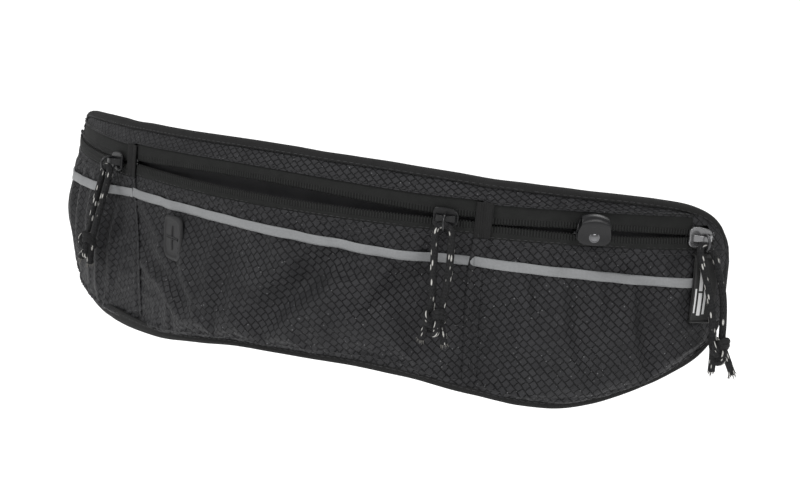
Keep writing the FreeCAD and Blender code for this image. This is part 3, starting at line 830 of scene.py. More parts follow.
for j in range(m - 1):
    F.append((j, j + 1, nv + j + 1, nv + j))
    F.append(((n - 1) * m + j, nv + (n - 1) * m + j, nv + (n - 1) * m + j + 1, (n - 1) * m + j + 1))
uv2 = np.concatenate([uvr.reshape(-1, 2), uvr.reshape(-1, 2)]) * 0.01 + 10.0
rear_panel = make_object("rear_panel_padded", np.concatenate([Xf, Xr]), F, "mesh", uv2)
seat(rear_panel, "pack", ["back_mesh_panel"])
bag = Bag()
for s in (-1, 1):
    for p in (0.30, 0.66):
        zz = np.linspace(float(lo_o(s * p)) + 8, float(hi_o(s * p)) - 8, 60)
        stitch_line(bag, PN(s * p, -3.05, zz), -radial(np.full(60, s * p)), 2.0, 0.8)
seat(bag.make("rear_channel_stitches", "thread"), "pack")

# lining
n, m = 150, 30
ph = cols(-0.956, 0.956, n)[:, None] * np.ones((1, m))
t = np.linspace(0, 1, m)[None, :] * np.ones((n, 1))
z = lo_i(ph) + 0.1 + (hi_i(ph) - lo_i(ph) - 0.2) * t
off = -0.35 - 0.25 * (0.5 + 0.5 * noise(ph * 26, z / 11.0, 31))
lining = grid_object("pocket_lining_cloth", ph, off, z, "lining", 0.25)
seat(lining, "pack", ["pocket_lining"])

# =====================================================================================
# face fabric above the zips: fold, hem and top stitching
# =====================================================================================
n = 260
ph1 = np.linspace(-0.872, 0.872, n)
top, low = hi_v(ph1), band_low(ph1) + arch(ph1) * 0.55
t = np.array([0, .12, .28, .45, .62, .78, .9, 0.97, 1.0, 1.0, 0.97, 0.86])
o = np.array([0.0, .34, .80, 1.3, 1.85, 2.5, 3.0, 3.38, 3.45, 3.1, 2.95, 2.75])
m = len(t)
ph = ph1[:, None] * np.ones((1, m))
zz = top[:, None] + (low - top)[:, None] * t[None, :]
fold = 0.28 * noise(ph1 * 34, ph1 * 0, 41)[:, None] * np.sin(np.clip(t, 0, 1) * math.pi)[None, :]
pk = 0.16 * noise(ph1 * 90, ph1 * 0 + 2, 43)[:, None] * np.sin(np.clip(t, 0, 1) * math.pi)[None, :]
of = tuck(ph, 0.35 + o[None, :] + fold + pk, zz)
run = np.concatenate([[0], np.cumsum(np.hypot(np.diff(t) * 8.6, np.diff(o)))])
uvb = np.stack([ph * R0, 200 - run[None, :] * np.ones((n, 1))], -1)
band = grid_object("top_band_fabric", ph, of, zz, "ripstop", 0.3, uv=uvb, flip=True)
seat(band, "pack", ["top_band"])
bag = Bag()
stitch_line(bag, PN(ph1, tuck(ph1, 0.35 + 3.1, low + 0.95), low + 0.95), radial(ph1), 1.9, 0.75, 0.38, 0.3)
seat(bag.make("band_stitches", "thread"), "pack")

# =====================================================================================
# zips
# =====================================================================================
SECT = {"left": (-0.925, -0.454), "center": (-0.430, 0.430), "right": (0.454, 0.925)}
PAN = {"left": (-0.948, -0.452, 8.8), "center": (-0.432, 0.432, 9.6), "right": (0.452, 0.948, 8.8)}


def half_gap(side, ph):
    """Half the opening between the rows of teeth, upper and lower."""
    ph = np.asarray(ph, float)
    if side == "center":
        return 0.85 + arch(ph) * 0.95, 0.85 + 0.35 * lip(ph) / 2.4 * 0
    if side == "right":
        g = np.clip(np.sin(np.clip((ph - 0.475) / (0.875 - 0.475), 0, 1) * math.pi), 0, 1)
        return 0.35 + 0.85 * g, 0.35 + 0.75 * g
    g = np.clip((ph + 0.53) / 0.08, 0, 1)
    return 0.28 + 0.5 * g, 0.28 + 0.5 * g


for side, (p0, p1) in SECT.items():
    ZIP = ZIPS[side]
    a0, a1 = (p0, p1) if side == "center" else ((-0.872, p1) if side == "left" else (p0, 0.872))
    k = 150 if side == "center" else 90
    # upper tape: from under the fold down to the teeth
    pp = np.linspace(a0, a1, k)
    up, dn = half_gap(side, pp)
    z_lo = ZIP + up + 0.05
    z_hi = np.maximum(band_low(pp) + arch(pp) * 0.55 * (side == "center") + 0.9, z_lo + 0.3)
    tt = np.linspace(0, 1, 10)
    ph = pp[:, None] * np.ones((1, 10))
    z = z_lo[:, None] + (z_hi - z_lo)[:, None] * tt[None, :]
    wav = 0.22 * noise(pp * 24, pp * 0 + 5, 51)[:, None] * np.sin(tt * math.pi)[None, :]
    lift = 0.25 * np.sin(tt * math.pi)[None, :] + (arch(pp) / 3.6 * 0.5)[:, None] * (1 - tt)[None, :]
    off = tuck(ph, 3.05 + wav + lift, z)
    uvt = np.stack([ph * R0, (z - z_lo[:, None])], -1)
    upper = grid_object("upper_tape_cloth_" + side, ph, off, z, "tape", 0.35, uv=uvt)
    seat(upper, "pack", ["upper_tape_" + side])
    # lower tape: from the teeth down onto the panel's upper edge
    pp = np.linspace(p0, p1, k)
    up, dn = half_gap(side, pp)
    lp = lip(pp) * (side == "center")
    z_hi = ZIP - dn - 0.05
    z_lo = np.full(k, ZIP - 6.1)
    ph = pp[:, None] * np.ones((1, 10))
    z = z_lo[:, None] + (z_hi - z_lo)[:, None] * tt[None, :]
    wav = 0.22 * noise(pp * 24, pp * 0 + 8, 52)[:, None] * np.sin(tt * math.pi)[None, :]
    off = 3.25 + wav + lp[:, None] * (0.55 + 0.45 * tt[None, :]) + 0.3 * np.sin(tt * math.pi)[None, :]
    uvt = np.stack([ph * R0, (z_hi[:, None] - z)], -1)
    lower = grid_object("lower_tape_cloth_" + side, ph, off, z, "tape", 0.35, uv=uvt)
    seat(lower, "pack", ["lower_tape_" + side])
    bag = Bag()
    stitch_line(bag, PN(pp, 3.35 + lp * 0.65, z_lo + 1.15), radial(pp), 1.9, 0.75, 0.36, 0.28)
    seat(bag.make("lower_tape_stitches_" + side, "thread"), "pack")
    # teeth: bent monofilament loops, one by one
    for row, sgn in (("upper", 1), ("lower", -1)):
        bag = Bag()
        step = 1.25 / R0
        x = p0 + 0.008
        while x < p1 - 0.007:
            u_, d_ = half_gap(side, x)
            g = float(u_ if sgn > 0 else d_)
            zz0, zz1 = ZIP + sgn * (g - 0.28), ZIP + sgn * (g + 1.3)
            of0 = 2.2 + (float(lip(x)) if (side == "center" and sgn < 0) else 0) + (float(arch(x)) / 3.6 * 0.5 if (side == "center" and sgn > 0) else 0)
            c = PN(x, of0, (zz0 + zz1) / 2)
            stitch(bag, c, np.array([0.10 * math.cos(x), 0.10 * math.sin(x), 1.0]), radial(x), abs(zz1 - zz0) + 0.15, 0.78, 1.25)
            x += step
        seat(bag.make(row + "_coil_" + side, "coil"), "pack", [row + "_teeth_" + side])

# end stops: small crimped metal clips
first = True
for side, (p0, p1) in SECT.items():
    ZIP = ZIPS[side]
    bag = Bag()
    for x in (p0 + 0.001, p1 - 0.001):
        for s in (-1, 1):
            stitch(bag, PN(x, 2.7, ZIP + s * 0.9), np.array([0, 0, 1.0]), radial(x), 1.9, 1.3, 1.6)
    ob = bag.make("zip_stops_" + side, "wire")
    seat(ob, "pack", ["zip_end_stops"])

# =====================================================================================
# front panels: cloth, pinned on the seams and let out a little so that it folds
# =====================================================================================


def panel_rest(side, nu, nv):
    """Grid (phi, z, off) before the cloth is let go, and v from 0 at the top."""
    q0, q1, bulge = PAN[side]
    ZT = ZIPS[side] - 5.6
    u = np.linspace(0, 1, nu)[:, None] * np.ones((1, nv))
    v = np.linspace(0, 1, nv)[None, :] * np.ones((nu, 1))
    zt = np.full_like(u, ZT)
    if side == "center":
        L0 = lambda zz: div_phi("left", zz) + 0.010
        L1 = lambda zz: div_phi("right", zz) - 0.010
    elif side == "left":
        L0 = lambda zz: np.full_like(zz, q0)
        L1 = lambda zz: div_phi("left", zz) - 0.010
    else:
        L0 = lambda zz: div_phi("right", zz) + 0.010
        L1 = lambda zz: np.full_like(zz, q1)
    ph = q0 + (q1 - q0) * u
    for _ in range(3):
        zb = lo_v(ph) - 0.2
        z = zt + (zb - zt) * v
        ph = L0(z) + (L1(z) - L0(z)) * u
    s = np.clip(1 - np.abs(2 * u - 1) ** 3.2, 0, 1)
    f = np.interp(v, [0, .06, .18, .30, .42, .55, .66, .78, .86, .94, 1.0], [0, .20, .52, .75, .90, .985, 1.0, .90, .72, .38, 0.0])
    if side == "left":   # this end is fuller near the top and flatter towards its lower corner
        f = np.interp(v, [0, .06, .18, .30, .42, .55, .66, .78, .86, .94, 1.0], [0, .30, .66, .90, 1.0, .97, .85, .62, .42, .20, 0.0])
        f = f * (1 - 0.25 * sstep(-0.80, -0.93, ph))
    base = np.interp(v, [0, .3, .97, 1], [3.4, 1.9, 1.5, 0.7])
    if side == "center":
        base = base + (lip(ph) * 0.65) * np.clip(1 - v / 0.35, 0, 1)
    off = base + (bulge - 1.8) * f * s
    return ph, z, off, u, v


def let_go(name, ph, z, off, pin, lo, hi, seed, extra, frames=22):
    """Blender's cloth on the unrolled grid: seams pinned, cloth a little larger than the frame, light air pressure."""
    nu, nv = ph.shape
    S = ph * R0
    X = np.stack([S, z, off], -1).reshape(-1, 3) / 100.0   # 1 unit = 100 mm keeps the solver well conditioned
    me = bpy.data.meshes.new("sim")
    me.from_pydata([tuple(v) for v in X.tolist()], [], grid_faces(nu, nv))
    ob = bpy.data.objects.new("sim_" + name, me)
    scene.collection.objects.link(ob)
    vg = ob.vertex_groups.new(name="pin")
    P = pin.reshape(-1)
    for i in np.nonzero(P > 0)[0]:
        vg.add([int(i)], float(P[i]), "REPLACE")
    md = ob.modifiers.new("cloth", "CLOTH")
    c = md.settings
    c.quality = 8
    c.mass = 0.25
    c.vertex_group_mass = "pin"
    c.tension_stiffness = 30
    c.compression_stiffness = 30
    c.shear_stiffness = 12
    c.bending_stiffness = 0.9
    c.tension_damping = 12
    c.compression_damping = 12
    c.shear_damping = 8
    c.bending_damping = 0.8
    c.air_damping = 4
    c.shrink_min = -extra
    c.shrink_max = -extra
    c.use_pressure = True
    c.uniform_pressure_force = 0.9
    c.effector_weights.gravity = 0.0
    md.collision_settings.use_collision = False
    md.collision_settings.use_self_collision = False
    md.point_cache.frame_start, md.point_cache.frame_end = 1, frames
    scene.frame_start, scene.frame_end = 1, frames
    for fr in range(1, frames + 1):
        scene.frame_set(fr)
    dg = bpy.context.evaluated_depsgraph_get()
    ev = ob.evaluated_get(dg)
    out = np.zeros(len(ev.data.vertices) * 3)
    ev.data.vertices.foreach_get("co", out)
    out = out.reshape(nu, nv, 3) * 100.0
    bpy.data.objects.remove(ob)
    bpy.data.meshes.remove(me)
    scene.frame_set(1)
    if not np.isfinite(out).all():
        return S, z, off
    return out[..., 0], out[..., 1], out[..., 2]


def folds(side, S, z, v, s):
    """Creases pressed in by use: long soft diagonals, puckers from the seams, a sag above the lower edge."""
    d = np.zeros_like(S)

    def crease(x0, z0, x1, z1, w, depth, sharp=1.0):
        L = math.hypot(x1 - x0, z1 - z0)
        ux, uz = (x1 - x0) / L, (z1 - z0) / L
        a = ((S - x0) * ux + (z - z0) * uz) / L
        b = -(S - x0) * uz + (z - z0) * ux
        along = sstep(-0.15, 0.2, a) * (1 - sstep(0.75, 1.15, a))
        prof = np.exp(-(b / w) ** 2) - 0.45 * np.exp(-((b - 1.7 * w) / w) ** 2) - 0.45 * np.exp(-((b + 1.7 * w) / w) ** 2)
        return -depth * along * prof
    if side == "center":
        d += crease(34, 50, -6, 12, 6.5, 3.0)
        d += crease(-62, 46, -40, 10, 4.0, 0.9)
        d += crease(8, 58, 22, 30, 4.5, 0.8)
        d += crease(52, 46, 66, 12, 5.0, 1.1)
        d += crease(70, 52, 40, 20, 4.0, 0.8)
        d += crease(-20, 46, -26, 8, 4.0, 0.8)
        d += crease(-78, 30, -30, 12, 3.5, 0.7)
    elif side == "left":
        for x, w, dp in ((-92, 3.2, 1.0), (-101, 4.0, 1.2), (-112, 3.6, 0.9), (-126, 4.2, 1.1), (-140, 4.0, 1.0), (-155, 4.2, 0.9)):
            d += crease(x, 57, x - 5, 8, w, dp)
    else:
        for x, x2, w, dp in ((96, 101, 4.0, 1.0), (112, 104, 3.6, 0.8), (126, 130, 4.2, 1.0), (141, 134, 4.0, 0.9), (152, 158, 3.8, 0.8)):
            d += crease(x, 46, x2, 2, w, dp)
    d += 0.55 * noise(S / 15.0, z / 19.0, 61) + 0.25 * noise(S / 6.5, z / 9.0, 62)
    d = d * 1.35
    return d * np.clip(s * 1.2, 0, 1) * np.sin(np.clip(v, 0, 1) * math.pi) ** 0.6


def upsample(A, nu, nv):
    """Smooth finer grid, cubic along both ways."""
    def up(A, k):
        n = A.shape[0]
        x = np.linspace(0, n - 1, k)
        i = np.clip(np.floor(x).astype(int), 0, n - 2)
        t = (x - i).reshape((-1,) + (1,) * (A.ndim - 1))
        p0, p1 = A[np.clip(i - 1, 0, n - 1)], A[i]
        p2, p3 = A[i + 1], A[np.clip(i + 2, 0, n - 1)]
        return 0.5 * ((2 * p1) + (-p0 + p2) * t + (2 * p0 - 5 * p1 + 4 * p2 - p3) * t**2 + (-p0 + 3 * p1 - 3 * p2 + p3) * t**3)
    return up(up(A, nu).swapaxes(0, 1), nv).swapaxes(0, 1)


PG = {}
for side in ("left", "center", "right"):
    nu, nv = (120, 40) if side == "center" else (72, 44)
    ph, z, off, u, v = panel_rest(side, nu, nv)
    s = np.clip(1 - np.abs(2 * u - 1) ** 3.2, 0, 1)
    S = ph * R0
    start = off + folds(side, S, z, v, s)
    pin = np.zeros_like(ph)
    pin[0, :] = pin[-1, :] = 1
    pin[:, 0] = pin[:, -1] = 1
    S2, z2, o2 = let_go(side, ph, z, start, pin, None, None, 7, 0.022, 14)
    # stay clear of the lining behind and the pulls in front
    b, top_o = 0.7, off + 1.3
    o2 = np.where(o2 < b + 0.5, b + 0.5 * np.exp(np.clip(o2 - b - 0.5, -8, 0) / 0.5), o2)
    over = o2 - top_o
    o2 = np.where(over > 0, top_o + 0.7 * (1 - np.exp(-over / 0.7)), o2)
    # keep the mouth of the panel straight under the zip
    near = np.clip(v / 0.10, 0, 1)
    o2 = off * (1 - near) + o2 * near
    big = (nu * 3 - 2, nv * 3 - 2)
    vb = np.linspace(0, 1, nv * 3 - 2)[None, :]
    sunk = 0.50 * np.exp(-((vb - 0.935) / 0.010) ** 2) + 0.35 * np.exp(-((vb - 0.062) / 0.008) ** 2)
    PG[side] = dict(S=upsample(S2, *big), z=upsample(z2, *big), o=upsample(o2, *big) - sunk,
                    U0=upsample(S, *big), V0=upsample(z, *big))
    g = PG[side]
    ob = grid_object("front_cloth_" + side, g["S"] / R0, g["o"], g["z"], "ripstop", 0.45,
                     uv=np.stack([g["U0"] * 1.0, g["V0"]], -1), flip=True)
    seat(ob, "pack", ["front_panel_" + side])


def on_panel(side, phi, z, lift=0.0):
    """Points on the finished cloth: the grid node nearest in angle and height, refined linearly in height."""
    g = PG[side]
    out_p, out_o, out_z = [], [], []
    P_, Z_ = np.broadcast_arrays(np.asarray(phi, float), np.asarray(z, float))
    mid = g["z"].shape[1] // 2
    for p, zz in zip(P_.ravel(), Z_.ravel()):
        s = p * R0
        i0 = int(np.argmin(np.abs(g["S"][:, mid] - s)))
        j = int(np.argmin(np.abs(g["z"][i0] - zz)))
        i = int(np.argmin(np.abs(g["S"][:, j] - s)))
        col = g["z"][i][::-1]
        oo = np.interp(zz, col, g["o"][i][::-1])
        i2 = i + 1 if g["S"][i, j] < s else i - 1
        i2 = min(max(i2, 0), g["S"].shape[0] - 1)
        if i2 != i and abs(g["S"][i2, j] - g["S"][i, j]) > 1e-6:
            w = np.clip((s - g["S"][i, j]) / (g["S"][i2, j] - g["S"][i, j]), 0, 1)
            o2 = np.interp(zz, g["z"][i2][::-1], g["o"][i2][::-1])
            oo = oo * (1 - w) + o2 * w
        out_p.append(p)
        out_o.append(oo + lift)
        out_z.append(zz)
    sh = P_.shape
    return np.array(out_p).reshape(sh), np.array(out_o).reshape(sh), np.array(out_z).reshape(sh)


# divider seams: the two cloths pinched together and sewn twice
DIVB = {}
for side, sg in (("left", -1), ("right", 1)):
    zz = np.linspace(float(lo_v(sg * 0.44)) - 0.1, 74.0, 90)
    du = np.array([-2.9, -2.1, -1.3, -0.55, 0.0, 0.55, 1.3, 2.1, 2.9])
    pin_ = np.array([0.04, 0.0, -0.10, -0.36, -0.50, -0.36, -0.10, 0.0, 0.04])
    pc = div_phi(side, zz)
    base = np.interp((60.5 - zz) / 60.0, [-0.22, -0.04, 0, .3, .97, 1], [3.95, 3.9, 3.6, 2.15, 1.65, 0.9])
    DIVB[side] = (zz, base)
    puck = 0.22 * noise(zz / 3.2, zz * 0, 71 + sg)
    ph = pc[:, None] + du[None, :] * (1 + 0.18 * sstep(56, 62, zz))[:, None] / R0
    off = base[:, None] + pin_[None, :] + puck[:, None] * np.sign(du)[None, :] * 0.5
    z = zz[:, None] * np.ones((1, len(du)))
    kk = int(np.searchsorted(zz, 59.3))
    ob = grid_object("divider_pinch_" + side, ph[:kk + 1], off[:kk + 1], z[:kk + 1], "ripstop", 0.35, flip=False,
                     uv=np.stack([ph[:kk + 1] * R0, z[:kk + 1]], -1))
    seat(ob, "pack", ["divider_seam_" + side])
    ob = grid_object("divider_tab_" + side, ph[kk:], off[kk:] + 0.12, z[kk:], "tape_plain", 0.4, flip=False,
                     uv=np.stack([ph[kk:] * R0, z[kk:]], -1))
    seat(ob, "pack")
    bag = Bag()
    for d in (-1.5, 1.5):
        stitch_line(bag, PN(pc + d / R0, base + 0.05 + 0.12 * (zz > 59), zz), radial(pc), 1.9, 0.8, 0.4, 0.32)
    seat(bag.make("divider_stitches_" + side, "thread"), "pack")

# the cloth that closes each end beyond the zips
for side, sg in (("left", -1), ("right", 1)):
    ZIP = ZIPS[side]
    n, m = 46, 30
    ap = np.linspace(0.858, 0.9745, n)
    pp = sg * ap
    H = hi_v(pp) + 0.3
    L = np.interp(ap, [0.858, 0.912, 0.932, 0.952, 0.9745], [ZIP + 4.4, ZIP + 4.4, ZIP - 6.0, 0, 0])
    L = np.where(ap > 0.932, np.interp(ap, [0.932, 0.952, 0.9745], [ZIP - 6.0, float(lo_v(sg * 0.952)) + 5, float(lo_v(sg * 0.9745)) - 0.5]), L)
    L = np.minimum(L, H - 0.6)
    t = np.linspace(0, 1, m)[None, :]
    ph = pp[:, None] * np.ones((1, m))
    z = L[:, None] + (H - L)[:, None] * t
    de = np.minimum(hi_o(ph) - z, (0.986 - np.abs(ph)) * R0)
    off = 0.75 + 2.0 * sstep(1.5, 8.5, de) + 0.25 * noise(ph * 55, z / 6.0, 77)
    ob = grid_object("end_cloth_" + side, ph, off, z, "ripstop", 0.3, flip=(sg < 0))
    seat(ob, "pack")

# reflective strips
for side, (q0, q1, _) in PAN.items():
    k = {"center": 260, "left": 150, "right": 150}[side]
    if side == "center":
        a0, a1, z0, z1 = float(div_phi("left", 52)) + 0.0012, float(div_phi("right", 52)) + 0.0034, 50.6, 54.6
        zc = lambda p: np.interp(p, [-.43, -.2, .0, .13, .28, .42], [53.3, 52.7, 51.8, 50.7, 49.5, 49.9])
    elif side == "left":
        a0, a1 = -0.93, float(div_phi("left", 48)) - 0.0012
        zc = lambda p: np.interp(p, [-.92, -.82, -.6, -.43], [48.6, 49.4, 50.8, 53.0])
    else:
        a0, a1 = float(div_phi("right", 48)) - 0.0034, 0.93
        zc = lambda p: np.interp(p, [.43, .52, .60, .79, .88, .92], [49.9, 49.2, 48.4, 46.6, 46.4, 46.4])
    pp = np.linspace(a0, a1, k)
    zz = zc(pp)[:, None] + np.array([-1.95, -1.2, 0, 1.2, 1.95])[None, :]
    ph, off, z = on_panel(side, pp[:, None] * np.ones((1, 5)), zz, 0.0)
    w = 7 if side == "left" else 4
    pad = np.pad(off, ((w, w), (0, 0)), mode="edge")
    top_ = np.max([pad[j:j + k] for j in range(2 * w + 1)], 0)
    pad = np.pad(top_, ((w, w), (0, 0)), mode="edge")
    off = np.maximum(off, np.mean([pad[j:j + k] for j in range(2 * w + 1)], 0))
    for dside, (dz, db) in DIVB.items():
        near = np.abs(ph - np.asarray(div_phi(dside, z))) * R0 < 3.4
        off = np.where(near, np.maximum(off, np.interp(z, dz, db) + 0.06), off)
    off = off + np.array([0.18, 0.36, 0.40, 0.36, 0.18])[None, :]
    ob = grid_object("reflective_tape_" + side, ph, off, z, "reflective", 0.25)
    seat(ob, "pack", ["reflective_strip_" + side])

# seam above the lower edge on every panel
for side in ("left", "center", "right"):
    g = PG[side]
    j = int(g["z"].shape[1] * 0.955)
    pts = PN(g["S"][3:-3, j] / R0, g["o"][3:-3, j] + 0.05, g["z"][3:-3, j])
    bag = Bag()
    stitch_line(bag, pts, radial(g["S"][3:-3, j] / R0), 1.9, 0.8, 0.38, 0.3)
    j = 4
    pts = PN(g["S"][3:-3, j] / R0, g["o"][3:-3, j] + 0.1, g["z"][3:-3, j])
    stitch_line(bag, pts, radial(g["S"][3:-3, j] / R0), 1.9, 0.8, 0.38, 0.3)
    seat(bag.make("panel_stitches_" + side, "thread"), "pack")

# =====================================================================================
# earphone port
# =====================================================================================
pc_, zc_ = -0.269, 39.3
na, nb = 48, 10
_, oc, _ = on_panel("center", np.array([pc_]), np.array([zc_]))
_, ol, _ = on_panel("center", np.array([pc_ - 0.04, pc_ + 0.04]), np.array([zc_, zc_]))
_, ov, _ = on_panel("center", np.array([pc_, pc_]), np.array([zc_ - 8, zc_ + 8]))
su, sv = float(ol[1] - ol[0]) / (0.08 * R0), float(ov[1] - ov[0]) / 16.0
rings = [(1.0, -0.5), (1.0, 0.55), (0.95, 0.95), (0.88, 1.05), (0.82, 0.9), (0.78, 0.62), (0.6, 0.58), (0.35, 0.60), (0.12, 0.62), (0.0, 0.62)]
VV, UU = [], []
for r, h in rings:
    for a in range(na):
        t = 2 * math.pi * a / na
        cx, sx = math.cos(t), math.sin(t)
        e = 0.42
        x = math.copysign(abs(cx) ** e, cx) * 8.0 * r
        y = math.copysign(abs(sx) ** e, sx) * 9.5 * r
        VV.append(PN(pc_ + x / (R0 + 8), float(oc[0]) + su * x + sv * y + h + 0.35, zc_ + y))
        UU.append((x, y))
F = []
for i in range(len(rings) - 1):
    for a in range(na):
        b = (a + 1) % na
        F.append((i * na + a, i * na + b, (i + 1) * na + b, (i + 1) * na + a))
port = make_object("earphone_port_rubber", VV, F, "rubber", np.array(UU) * 0.01)
seat(port, "pack", ["earphone_port"])
# the cross slit: four lips that stand up a little around a dark line
bag = Bag()
for ax in (0, 1):
    for sgn in (-1, 1):
        a = np.linspace(-5.2, 5.2, 30)
        w = sgn * (0.30 + 0.12 * np.cos(a / 5.2 * math.pi / 2))
        x, y = (a, w) if ax == 0 else (w, a)
        hgt = 0.62 + 0.35 + 0.16 * np.cos(a / 5.4 * math.pi / 2)
        pts = PN(pc_ + x / (R0 + 8), float(oc[0]) + su * x + sv * y + hgt, zc_ + y)
        tv, tf, tu = tube_mesh(pts, 0.00026, 8)
        bag.add(tv, tf, tu)
seat(bag.make("port_slit_lips", "rubber"), "pack")

# =====================================================================================
# label with plain bars
# =====================================================================================
pp = np.linspace(0.878, 0.930, 14)
zz = np.linspace(31.0, 56.9, 26)
ph = pp[:, None] * np.ones((1, 26))
z = zz[None, :] * np.ones((14, 1))
cur = 0.5 * np.sin((zz - 31) / 26 * math.pi)[None, :] * np.ones((14, 1)) + 0.15 * noise(ph * 60, z / 8, 81)
lab = grid_object("side_label_front", ph, 7.25 + cur, z, "label", 0.4)
seat(lab, "pack", ["side_label"])
lab2 = grid_object("side_label_back", ph, 6.3 + cur * 0.6, z, "label", 0.4)
seat(lab2, "pack")
zt = np.linspace(0, 1, 10)[None, :] * np.ones((14, 1))
ph = pp[:, None] * np.ones((1, 10))
seat(grid_object("side_label_fold", ph, 6.45 + 0.55 * np.cos(zt * math.pi) , 31.0 - 0.55 * np.sin(zt * math.pi), "label", 0.4), "pack")
seat(grid_object("side_label_head", ph, 7.0 - 3.2 * zt, 56.8 + 1.4 * np.sin(zt * math.pi / 2), "label", 0.4), "pack")
bag = Bag()
for a, b, z0, z1 in ((0.8815, 0.8850, 34.5, 44.5), (0.8895, 0.8975, 33.5, 42.8), (0.8895, 0.8975, 43.6, 54.6), (0.9015, 0.9065, 34.0, 46.0), (0.9015, 0.9065, 46.8, 52.0)):
    q = np.linspace(z0, z1, 14)
    gv = []
    for zz_ in q:
        cc = 0.5 * math.sin((zz_ - 31) / 26 * math.pi)
        for p in (a, b):
            gv.append(PN(p, 7.42 + cc + 0.15 * float(noise(p * 60, zz_ / 8, 81)), zz_))
    bag.add(gv, [tuple(reversed(f)) for f in grid_faces(14, 2)])
seat(bag.make("label_plain_bars", "print"), "pack")

# =====================================================================================
# sliders, rings
# =====================================================================================


def slab(name, outline, d0, d1, phi, off, zc, mat, bev=0.35, dome=0.0):
    """Flat shape (mm along the curve, up) between two depths, placed at a spot on the curve."""
    n = len(outline)
    V = []
    for d in (d0, d1):
        for x, y in outline:
            V.append(PN(phi + x / R0, off + d, zc + y))
    F = [tuple(range(n - 1, -1, -1)), tuple(range(n, 2 * n))]
    for i in range(n):
        j = (i + 1) % n
        F.append((i, j, n + j, n + i))
    ob = make_object(name, V, F, mat, smooth=False)
    if bev:
        bevel(ob, bev, 3)
    return ob


def join(name, obs):
    for o in bpy.context.selected_objects:
        o.select_set(False)
    for o in obs:
        o.select_set(True)
    bpy.context.view_layer.objects.active = obs[0]
    bpy.ops.object.join()
    obs[0].name = name
    obs[0].data.name = name
    return obs[0]


for side, phs in SLID.items():
    ZIP = ZIPS[side]
    nose = -1 if side != "left" else 1
    # the right slider and its ring take the lighter copies of the finishes, a painted reflection; the left and centre
    # ones stay black
    SM, WM = ("slider", "wire") if side == "right" else ("slider_dark", "wire_dark")
    # shield: wide flanges at the nose, rounded tail
    sh = [(-5.0, -1.2), (-4.6, -2.3), (-3.7, -3.1), (-2.0, -3.7), (0.6, -4.0), (2.6, -4.1), (3.9, -3.9), (4.8, -3.3), (5.2, -2.2), (5.0, -0.9),
          (5.0, 0.9), (5.2, 2.2), (4.8, 3.3), (3.9, 3.9), (2.6, 4.1), (0.6, 4.0), (-2.0, 3.7), (-3.7, 3.1), (-4.6, 2.3), (-5.0, 1.2)]
    sh = [(x * nose, y) for x, y in sh]
    if nose < 0:
        sh = sh[::-1]
    a = slab("sl_a", sh, 4.35, 5.55, phs, 0, ZIP, SM, 0.45)
    b = slab("sl_b", sh, 0.95, 1.85, phs, 0, ZIP, SM, 0.3)
    c = slab("sl_c", [(-1.1, -0.55), (1.1, -0.55), (1.1, 0.55), (-1.1, 0.55)], 1.7, 4.5, phs + nose * 0.010, 0, ZIP, SM, 0.2)
    # crown: a bent strap over the plate, with its bar along the zip
    N_ = 25
    tt = np.linspace(0, 1, N_)
    x = -4.1 + 8.2 * tt
    o_ = 5.3 + 3.35 * np.clip(np.sin(tt * math.pi), 0, 1) ** 0.42
    V = []
    for i in range(N_):
        j0, j1 = max(i - 1, 0), min(i + 1, N_ - 1)
        tx, to = x[j1] - x[j0], o_[j1] - o_[j0]
        l_ = math.hypot(tx, to)
        nx, no = -to / l_, tx / l_
        w = 1.15 + 0.35 * abs(2 * tt[i] - 1) ** 2
        for dn, dz in ((-0.42, -w), (-0.42, w), (0.42, w), (0.42, -w)):
            V.append(PN(phs + (x[i] + nx * dn) / R0, o_[i] + no * dn, ZIP + dz))
    F = []
    for i in range(N_ - 1):
        for k in range(4):
            q = (k + 1) % 4
            F.append((i * 4 + k, i * 4 + q, (i + 1) * 4 + q, (i + 1) * 4 + k))
    F += [(3, 2, 1, 0), tuple((N_ - 1) * 4 + k for k in range(4))]
    d = make_object("sl_d", V, F, SM, smooth=False)
    bevel(d, 0.22, 2, 40)
    ob = join("slider_body_" + side, [a, b, c, d])
    seat(ob, "slider_" + side, ["slider_" + side])
    # ring in the radial plane
    RZ = ZIP - 1.5
    pts = []
    for i in range(64):
        t = 2 * math.pi * i / 64
        pts.append(PN(phs, 9.25 + 3.2 * math.cos(t), RZ + 3.2 * math.sin(t)))
    tv, tf, tu = tube_mesh(pts, 0.00052, 12, closed=True)
    ring = make_object("pull_wire_" + side, tv, tf, WM, np.array(tu) * 0.01)
    seat(ring, "pull_" + side, ["pull_ring_" + side])

